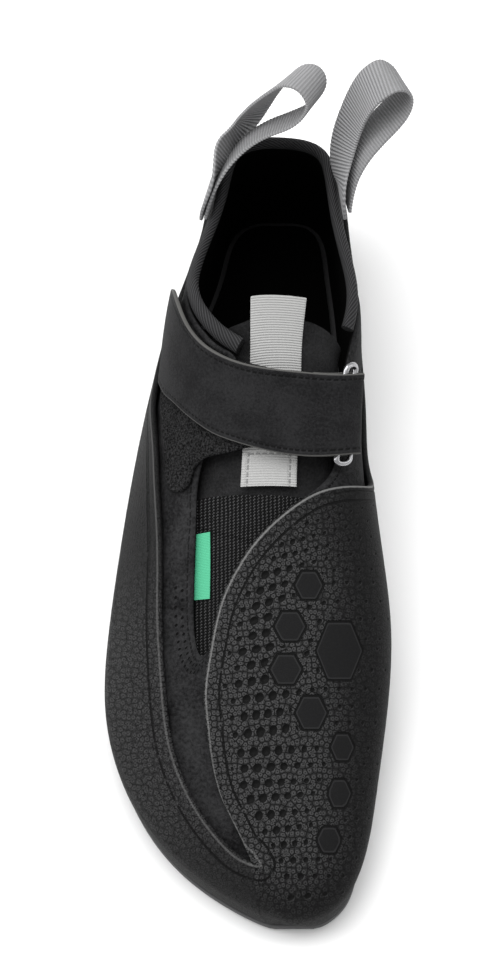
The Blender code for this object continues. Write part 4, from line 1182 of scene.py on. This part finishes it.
TAB_INNER = (
    (0.113, 0.310, 1.132), (0.108, 0.350, 1.046), (0.099, 0.385, 0.941), (0.082, 0.444, 0.829),
    (0.073, 0.509, 0.731),
)
LABEL_OUTER = (
    (-0.376, 0.547, 0.526), (-0.382, 0.586, 0.487), (-0.382, 0.627, 0.447),
)
LABEL_INNER = (
    (-0.278, 0.549, 0.583), (-0.277, 0.587, 0.543), (-0.277, 0.630, 0.497),
)
TONGUE_THICKNESS = 0.0026
GUSSET_THICKNESS = 0.00095
LABEL_THICKNESS = 0.0004
TAB_THICKNESS = 0.0011
TAB_STEP = (0.70, 0.80)
TAB_RIB = 0.0008
TAB_RIB_HEIGHT = 0.000012
TAB_STITCH_IN = 0.0022
TAB_STITCH_END = 0.0100
LABEL_THREAD = 0.0005

# The knit's column and stitch in the photograph's pixels, and the box's stitch in millimetres
KNIT_COLUMN, KNIT_STITCH = 4.1, 3.1
BOX_STITCH = 2.1


# %% Tongue fabric, knit, webbing and weave
def tongue_fabric(colour=(0.0100, 0.0100, 0.0104), light=2.3):
    """Plain microfibre, lined."""
    finish = Finish("tongue_fabric", roughness=0.8, Specular_IOR_Level=0.08)
    grain, shade = nap(finish, 0.0008)
    pale = finish.mix(shade.rise(0.2, 0.8), tone(colour, 1 / light), tone(colour, light))
    return finish.done(lined(finish, pale), height=grain, depth=0.00014)


def knit():
    """Elastic knit: pale threads that stand out in columns on a dark ground."""
    finish = Finish("gusset_elastic", roughness=0.85, Specular_IOR_Level=0.06)
    across, down = (part * 1000 for part in finish.stock("photo"))
    wander = finish.noise(0.004, detail=3) * 5
    column = (across * (2 * math.pi / KNIT_COLUMN) + wander * 0.5).wave()
    turn = (across / KNIT_COLUMN).math("FLOOR") * 2.1
    thread = column * (down * (2 * math.pi / KNIT_STITCH) + turn + wander).wave()
    fuzz = finish.noise(0.0006, detail=5, rough=0.8)
    pale = thread.rise(0.22, 0.75) * fuzz.rise(0.25, 0.60)
    return finish.done(finish.mix(pale, (0.0035, 0.0035, 0.0036), (0.0700, 0.0700, 0.0710)),
                       height=thread + fuzz * 0.6, depth=0.00025)


def webbing(name, colour, step, contrast, rib, box=None):
    """Webbing with fine threads across its ribs, and a box of stitches where it is sewn down."""
    finish = Finish(name, roughness=0.8, Specular_IOR_Level=0.25)
    along, across = finish.stock()
    ribs, threads = along.wave(step), across.wave(step * 0.55)
    share = ribs * rib + threads * 0.2 + finish.noise(0.0006, detail=4) * 0.3
    cloth = finish.mix(share, tone(colour, 1 - contrast), tone(colour, 1 + contrast))
    height = ribs + threads * 0.3
    if box:
        seam, run = finish.value("seam") * 1000, finish.value("run") * 1000
        dash = stitches(seam, run, BOX_STITCH, (0.42, 0.20), (0.40, 0.30))
        cloth = finish.mix(dash * 0.8, cloth, box)
        height = height - abs(seam).rise(0.9, 0.2) * 1.5 + dash
    return finish.done(cloth, height=height, depth=0.00016)


def weave():
    """A smooth woven label, folded double."""
    finish = Finish("label_weave", roughness=0.6, Specular_IOR_Level=0.3)
    threads = finish.stock()[0].wave(LABEL_THREAD)
    cloth = finish.mix(threads, (0.050, 0.330, 0.180), (0.070, 0.400, 0.225))
    return finish.done(cloth, height=threads, depth=0.00005)


# %% Tongue, gusset, label and tab in place
label_top = -SEAT
gusset_top = label_top - LABEL_THICKNESS - FIT
tongue_top = gusset_top - GUSSET_THICKNESS - FIT
evenly = np.linspace(0, 1, 170)


def tongue_relief(place):
    """Soft dents across the tongue, where it bends with the foot."""
    x, y, _ = np.moveaxis(place["points"], -1, 0)
    wave = bump(y + 0.15 * x, 0.050, 0.004) + bump(y, 0.088, 0.003) * 0.7
    upper, lower = (0.0004 * step_up(place[key], 0.0030, 0.0) for key in ("up", "down"))
    return -0.0005 * wave - upper - lower


def gusset_relief(place):
    """One seam across the gusset, with a crease on each side."""
    x, y = np.moveaxis(place["seen"], -1, 0)
    line = y - (529 + 0.25 * (x - 212))
    return 0.00022 * bump(line, 0, 1.5) - 0.00035 * bump(line, 5, 3) - 0.0002 * bump(line, -5, 4)


tongue = shell("tongue_pad", "tongue", at_edge(TONGUE_OUTER, evenly), at_edge(TONGUE_INNER, evenly),
               tongue_top - TONGUE_THICKNESS, tongue_top, 120, tongue_fabric(), square=2.0,
               relief=tongue_relief)
shell("throat_gusset", "gusset", at_edge(GUSSET_OUTER, evenly), at_edge(GUSSET_INNER, evenly),
      gusset_top - GUSSET_THICKNESS, gusset_top, 120, knit(), relief=gusset_relief)
shell("woven_label", "label", at_edge(LABEL_OUTER, evenly[::4]), at_edge(LABEL_INNER, evenly[::4]),
      label_top - LABEL_THICKNESS, label_top, 24, weave())
closely = np.linspace(0, 1, 420)
rise = np.clip((closely - TAB_STEP[0]) / (TAB_STEP[1] - TAB_STEP[0]), 0, 1)
near = tongue_top + SEAT + (gusset_top - tongue_top) * rise


def tab_relief(place):
    """Ribs across the webbing."""
    return TAB_RIB_HEIGHT * np.cos(place["along"] * 2 * math.pi / TAB_RIB)


def tab_marks(place):
    """The stitches: a box near the sewn end, 2 mm in from each side."""
    along, up, down = place["along"], place["up"], place["down"]
    end = along.max() - along
    sides = np.minimum(np.abs(up - TAB_STITCH_IN), np.abs(down - TAB_STITCH_IN))
    sides = np.where(end < TAB_STITCH_END + 0.0005, sides, 1)
    inside = (up > 0.0018) & (down > 0.0018)
    top = np.where(inside, np.abs(end - TAB_STITCH_END), 1)
    seam = np.minimum(sides, top)
    return {"seam": np.minimum(seam, 0.01), "run": np.where(top < sides, up, along)}


shell("tab_webbing", "tongue_tab", at_edge(TAB_OUTER, closely), at_edge(TAB_INNER, closely), near,
      near + TAB_THICKNESS, 56, relief=tab_relief, marks=tab_marks,
      material=webbing("tab_ribs", (0.36, 0.36, 0.355), TAB_RIB, 0.07, 0.4, box=(0.16, 0.16, 0.16)))

# %% [markdown]
# ## The strap, its base and the ring
# The strap is smooth microfibre whose cut edges show a lighter core. It passes through a wire ring,
# folds back and lies on a base of loop pile. Its path is a line in the plane of length and height,
# so that the fold round the ring is a true half circle.

# %% Edges and sizes of the strap and its base
BASE_UPPER = (
    (-0.462, 0.283, 0.579), (-0.442, 0.262, 0.684), (-0.397, 0.250, 0.783), (-0.364, 0.262, 0.829),
    (-0.342, 0.288, 0.859), (-0.308, 0.313, 0.889), (-0.242, 0.338, 0.918), (-0.161, 0.357, 0.938),
    (-0.062, 0.370, 0.961), (0.030, 0.378, 0.968), (0.092, 0.380, 0.953),
)
BASE_LOWER = (
    (-0.476, 0.325, 0.507), (-0.475, 0.362, 0.507), (-0.471, 0.404, 0.526), (-0.462, 0.452, 0.539),
    (-0.449, 0.482, 0.539), (-0.403, 0.493, 0.579), (-0.360, 0.488, 0.625), (-0.335, 0.472, 0.664),
    (-0.292, 0.463, 0.717), (-0.211, 0.463, 0.770), (-0.136, 0.462, 0.803), (-0.037, 0.460, 0.822),
    (0.040, 0.461, 0.822), (0.092, 0.461, 0.817),
)
STRAP_UPPER = (
    (-0.407, 0.238, 0.789), (-0.375, 0.256, 0.882), (-0.350, 0.280, 0.934), (-0.325, 0.304, 0.950),
    (-0.280, 0.328, 0.970), (-0.222, 0.345, 0.992), (-0.107, 0.365, 1.022), (0.084, 0.377, 1.016),
    (0.199, 0.375, 0.963), (0.261, 0.367, 0.901), (0.309, 0.357, 0.830),
)
STRAP_LOWER = (
    (-0.469, 0.338, 0.566), (-0.442, 0.361, 0.618), (-0.402, 0.379, 0.671), (-0.355, 0.401, 0.724),
    (-0.305, 0.421, 0.774), (-0.242, 0.438, 0.809), (-0.172, 0.450, 0.836), (-0.073, 0.462, 0.861),
    (0.084, 0.473, 0.858), (0.200, 0.473, 0.822), (0.261, 0.468, 0.776), (0.309, 0.461, 0.714),
)
BASE_THICKNESS = 0.0012
STRAP_THICKNESS = 0.0014
STRAP_GAP = 0.0007
RING_WIRE = 0.0019
RING_GAUGE = 0.0036
RING_BEYOND = 0.0026
RING_FROM_END = 0.0046
RING_CORNER = 0.0017
STRAP_STITCH_DEPTH = 0.00018
PILE_LUMPS = (0.00012, 0.00010)
UNDER_LAYER = 0.0120
SETTLE_FROM = 0.0020
SETTLE_ALONG = (0.0040, 0.0090, 0.0130, 0.0180)
SETTLE_SHARES = (0.53, 0.92)

# The row of stitches: how far in it runs and how long a stitch is, in millimetres
STRAP_STITCH_IN, STRAP_STITCH = 1.8, 1.7


# %% Loop pile under the strap
def pile():
    """Dark loops with paler tips."""
    finish = Finish("loop_pile", roughness=0.95, Specular_IOR_Level=0.05)
    fuzz = finish.noise(0.0007, detail=6, rough=0.8)
    loops = finish.mix(fuzz.rise(0.38, 0.66), (0.0005, 0.0005, 0.0005), (0.0420, 0.0420, 0.0430))
    return finish.done(loops, height=fuzz + finish.cells(0.0011) * -0.8, depth=0.0009)


def tufted(place):
    """The pile's uneven surface, from waves of a few lengths."""
    a, b = place["along"] * 1000, place["up"] * 1000
    wave = np.sin(a * 4.1 + np.sin(b * 2.3) * 1.7) * np.sin(b * 3.7 + np.sin(a * 1.9) * 2.1)
    return PILE_LUMPS[0] * wave + PILE_LUMPS[1] * np.sin(a * 1.3 + b * 1.7)


base_near = UPPER_WALL + SEAT
thickly = np.linspace(0, 1, 300)
shell("strap_lining", "strap_base", at_edge(BASE_LOWER, thickly), at_edge(BASE_UPPER, thickly),
      base_near, base_near + BASE_THICKNESS, 130, pile(), relief=tufted)


# %% The ground under the strap
class Run:
    """The ground under the strap: distances along it, shares across it, heights off the last."""

    def __init__(self, lower, upper, count=160):
        self.low, self.high = (at_edge(table, np.linspace(0, 1, count)) for table in (lower, upper))
        shares = np.repeat([[0.0], [0.5], [1.0]], count, axis=1)
        (low, middle, high), _ = on_last(blend(aim(self.low), aim(self.high), shares))
        self.reach = travel(middle)
        self.length = self.reach[-1]
        self.width = np.linalg.norm(high - low, axis=1)

    def places(self, along, across, height):
        low, high = (natural_spline(self.reach, edge, along) for edge in (self.low, self.high))
        base, out = on_last(blend(aim(low), aim(high), np.asarray(across, float)[None]))
        return base[0] + out[0] * np.asarray(height, float)[:, None]


def strap_fabric():
    """Microfibre with a pale cut edge and a row of dark stitches inside each edge."""
    finish = Finish("strap_microfibre", roughness=0.7, Specular_IOR_Level=0.09)
    grain, shade = nap(finish, 0.0008)
    edge, along = finish.value("edge") * 1000, finish.value("along") * 1000
    off = edge - STRAP_STITCH_IN
    stitch = stitches(off, along, STRAP_STITCH, (0.46, 0.20), (0.40, 0.26))
    cloth = finish.mix(shade.rise(0.30, 0.70), (0.0036, 0.0036, 0.0040), (0.0150, 0.0150, 0.0158))
    cloth = finish.mix(stitch * 0.85, cloth, (0.0012, 0.0012, 0.0012))
    cloth = finish.mix(edge.rise(0.55, 0.15), cloth, (0.080, 0.079, 0.076))
    height = grain * 0.5 - abs(off).rise(0.9, 0.1) * 1.3 + stitch * 0.9
    return finish.done(cloth, height=height, depth=0.00018)


# %% The strap in place
run = Run(STRAP_LOWER, STRAP_UPPER)
half = STRAP_THICKNESS / 2
wire = RING_WIRE / 2
under = UPPER_WALL + 2 * FIT + half
centre = under + half + 2 * FIT + wire
over = centre + wire + 2 * FIT + half
flat_level = base_near + BASE_THICKNESS + STRAP_GAP + half
far_bar = run.length - RING_FROM_END
bend = over - centre
turns = np.linspace(-90, 90, 7) * math.pi / 180
fold = [(far_bar + bend * math.cos(turn), centre + bend * math.sin(turn)) for turn in turns]
settle = far_bar - RING_GAUGE - SETTLE_FROM
path = [(far_bar - UNDER_LAYER, under), (far_bar - UNDER_LAYER / 2, under)] + fold
path += [(far_bar - RING_GAUGE / 2, over), (settle, over)]
lows = [over + (flat_level - over) * share for share in SETTLE_SHARES] + [flat_level]
path += [(settle - along, low) for along, low in zip(SETTLE_ALONG, lows)]
path += [(along, flat_level) for along in np.linspace(settle - SETTLE_ALONG[-1], 0.0, 13)]
path = np.array(path)
knots = travel(path)
strap_along = np.linspace(0, knots[-1], 380)
path = np.stack([np.interp(strap_along, knots, path[:, i]) for i in (0, 1)], axis=1)
smooth = np.pad(path, ((3, 3), (0, 0)), mode="edge")
smooth = np.mean([smooth[i:len(path) + i] for i in range(7)], axis=0)
path = np.concatenate([path[:3], smooth[3:-3], path[-3:]])
side = unit(np.gradient(path, axis=0))[:, ::-1] * (-1, 1) * half
rings = section(70, 60, square=3.5,
                fringe=(0.0, 0.0004, 0.0009, 0.0013, 0.0016, 0.0019, 0.0023, 0.0030))
table = np.zeros((len(rings), len(path), 3))
flat = np.zeros((len(rings), len(path), 2))
edges = np.zeros((len(rings), len(path)))
for row, (share, step, level, take, off) in enumerate(rings):
    at = path + side * level
    width = np.interp(np.clip(at[:, 0], 0, run.length), run.reach, run.width)
    up = share * width + step * half + off
    end = np.where(path[:, 1] > centre, path[:, 0] + 0.0004, 1)
    edges[row] = np.minimum(np.minimum(up, width - up), end)
    sunk = -STRAP_STITCH_DEPTH * bump(edges[row], STRAP_STITCH_IN / 1000, 0.0005) * take
    soft = 0.00025 * take * np.sin(at[:, 0] * 95 + share * 2.0) * bump(share, 0.5, 0.35)
    table[row] = run.places(at[:, 0], up / width, at[:, 1] + sunk + soft)
    flat[row] = np.stack([strap_along, up], axis=1)
told = {"edge": edges, "along": np.broadcast_to(strap_along, edges.shape)}
keep(piece("strap_band", table, flat, marks=told), "strap", strap_fabric())


# %% Ring
def wire_loop(name, line, radius, sides):
    """A closed loop of round wire."""
    ahead = unit(np.roll(line, -1, axis=0) - np.roll(line, 1, axis=0))
    flat = unit(np.linalg.svd(line - line.mean(axis=0))[2][2])
    side = unit(np.cross(ahead, flat))
    up = np.cross(side, ahead)
    turns = np.arange(sides) * 2 * math.pi / sides
    across, over = (part(turns)[:, None, None] for part in (np.cos, np.sin))
    table = line[None] + radius * (across * side[None] + over * up[None])
    return piece(name, table, table[..., :2], around=True)


width = float(np.interp(far_bar, run.reach, run.width))
near_bar = far_bar - RING_GAUGE
low, high = -RING_BEYOND, width + RING_BEYOND
outline = []
east, west = far_bar - RING_CORNER, near_bar + RING_CORNER
north, south = high - RING_CORNER, low + RING_CORNER
for x, y, start in ((east, north, 0), (west, north, 90), (west, south, 180), (east, south, 270)):
    for turn in np.radians(start + np.linspace(0, 90, 10)):
        outline.append((x + RING_CORNER * math.cos(turn), y + RING_CORNER * math.sin(turn)))
    if start in (90, 270):
        other = south if start == 90 else north
        last_x = outline[-1][0]
        outline += [(last_x, y + (other - y) * share) for share in np.linspace(0, 1, 40)[1:-1]]
outline = np.array(outline)
line = run.places(outline[:, 0], outline[:, 1] / width, np.full(len(outline), centre))
steel = Finish("ring_steel", roughness=0.25, Metallic=1.0)
keep(wire_loop("strap_ring", line, wire, 20), "ring",
     steel.done(steel.mix(steel.noise(0.002), (0.26, 0.26, 0.27), (0.42, 0.42, 0.43))))

# %% [markdown]
# ## Pull loops
# Each loop is one length of ribbed webbing with both ends sewn beside the collar. The ribs are
# geometry: a fine wave along the webbing.

# %% Two loops of webbing
LOOP_OUTER = (
    (-0.262, 0.122, 0.845, -0.26, -0.97, 0.00, 2.0),
    (-0.262, 0.122, 0.890, -0.26, -0.97, 0.00, 2.2),
    (-0.246, 0.105, 0.960, -0.36, -0.92, 0.12, 0.0),
    (-0.190, 0.065, 1.005, -0.56, -0.77, 0.28, 0.0),
    (-0.125, 0.040, 1.040, -0.70, -0.60, 0.40, 0.0),
    (-0.065, 0.026, 1.125, -0.67, -0.62, 0.41, 0.0), (0.018, 0.019, 1.251, -0.55, -0.73, 0.40, 0.0),
    (0.064, 0.019, 1.303, -0.49, -0.78, 0.38, 0.0), (0.120, 0.028, 1.322, -0.47, -0.82, 0.32, 0.0),
    (0.147, 0.038, 1.282, -0.45, -0.82, 0.36, 0.0), (0.132, 0.046, 1.221, -0.34, -0.78, 0.52, 0.0),
    (0.070, 0.054, 1.160, -0.16, -0.80, 0.58, 0.0), (-0.035, 0.060, 1.104, -0.13, -0.80, 0.58, 0.0),
    (-0.125, 0.072, 1.055, -0.20, -0.83, 0.50, 0.0),
    (-0.205, 0.094, 0.985, -0.30, -0.91, 0.26, 0.0),
    (-0.262, 0.120, 0.890, -0.26, -0.97, 0.00, 1.1),
    (-0.262, 0.122, 0.845, -0.26, -0.97, 0.00, 1.0),
)
LOOP_INNER = (
    (0.226, 0.122, 0.845, 0.14, -0.99, 0.00, 1.0), (0.226, 0.121, 0.890, 0.14, -0.99, 0.00, 1.1),
    (0.246, 0.090, 0.980, 0.22, -0.97, 0.04, 0.0), (0.284, 0.050, 1.105, 0.32, -0.94, 0.09, 0.0),
    (0.329, 0.034, 1.217, 0.36, -0.92, 0.12, 0.0), (0.376, 0.027, 1.289, 0.38, -0.92, 0.10, 0.0),
    (0.426, 0.022, 1.314, 0.38, -0.91, 0.15, 0.0), (0.465, 0.020, 1.289, 0.35, -0.89, 0.30, 0.0),
    (0.491, 0.024, 1.237, 0.35, -0.86, 0.37, 0.0), (0.484, 0.032, 1.190, 0.35, -0.87, 0.36, 0.0),
    (0.442, 0.046, 1.138, 0.37, -0.85, 0.36, 0.0), (0.360, 0.067, 1.075, 0.36, -0.87, 0.34, 0.0),
    (0.290, 0.092, 0.990, 0.28, -0.93, 0.24, 0.0), (0.240, 0.119, 0.890, 0.16, -0.99, 0.03, 2.2),
    (0.226, 0.122, 0.845, 0.14, -0.99, 0.00, 2.0),
)
LOOP_WIDTH = 0.0140
LOOP_THICKNESS = 0.0010
LOOP_SEAT = 0.0019
LOOP_RIB = 0.00105
LOOP_RIB_HEIGHT = 0.00009


def pull_loop(name, node, table, material):
    """Webbing along a table: a point, the way of the webbing's width there, and which layer it is
    of those sewn on the upper. Layer 0 is free."""
    points = in_metres(table)
    wide = np.array(table)[:, 3:6]
    layer = np.array(table)[:, 6:]
    height = LOOP_SEAT + (layer - 1 / 2) * LOOP_THICKNESS + (layer - 1) * SEAT
    starts, ways = aim(points)
    base, out = on_last((starts[None], ways[None]))
    points = np.where(layer > 0, base[0] + out[0] * height, points)
    knots = travel(points)
    at = np.linspace(0, knots[-1], 760 if FINE else 400)
    line = natural_spline(knots, points, at)
    wide = unit(natural_spline(knots, wide, at))
    ahead = unit(np.gradient(line, axis=0))
    wide = unit(wide - ahead * (wide * ahead).sum(axis=1)[:, None])
    thick = np.cross(ahead, wide)
    rings = section(16, 16, ends=3, square=3)
    half = LOOP_THICKNESS / 2
    rib = LOOP_RIB_HEIGHT * np.cos(at * 2 * math.pi / LOOP_RIB)
    body = np.zeros((len(rings), len(line), 3))
    flat = np.zeros((len(rings), len(line), 2))
    for row, (share, step, level, _, _) in enumerate(rings):
        side = (share - 0.5) * LOOP_WIDTH + step * half
        body[row] = line + wide * side + thick * (level * (half + rib))[:, None]
        flat[row] = np.stack([at, np.full(len(at), side)], axis=1)
    return keep(piece(name, body, flat), node, material)


grosgrain = webbing("grosgrain", (0.210, 0.210, 0.214), LOOP_RIB, 0.45, 0.5)
pull_loop("loop_outer", "pull_loop_outer", LOOP_OUTER, grosgrain)
pull_loop("loop_inner", "pull_loop_inner", LOOP_INNER, grosgrain)

# %% [markdown]
# ## Floor finish and the last line

# %% Finish
paper = Finish("paper", roughness=0.9)
cloudy = paper.mix(paper.noise(0.5), (0.86, 0.86, 0.86), (0.90, 0.90, 0.90))
floor.data.materials.append(paper.done(cloudy))
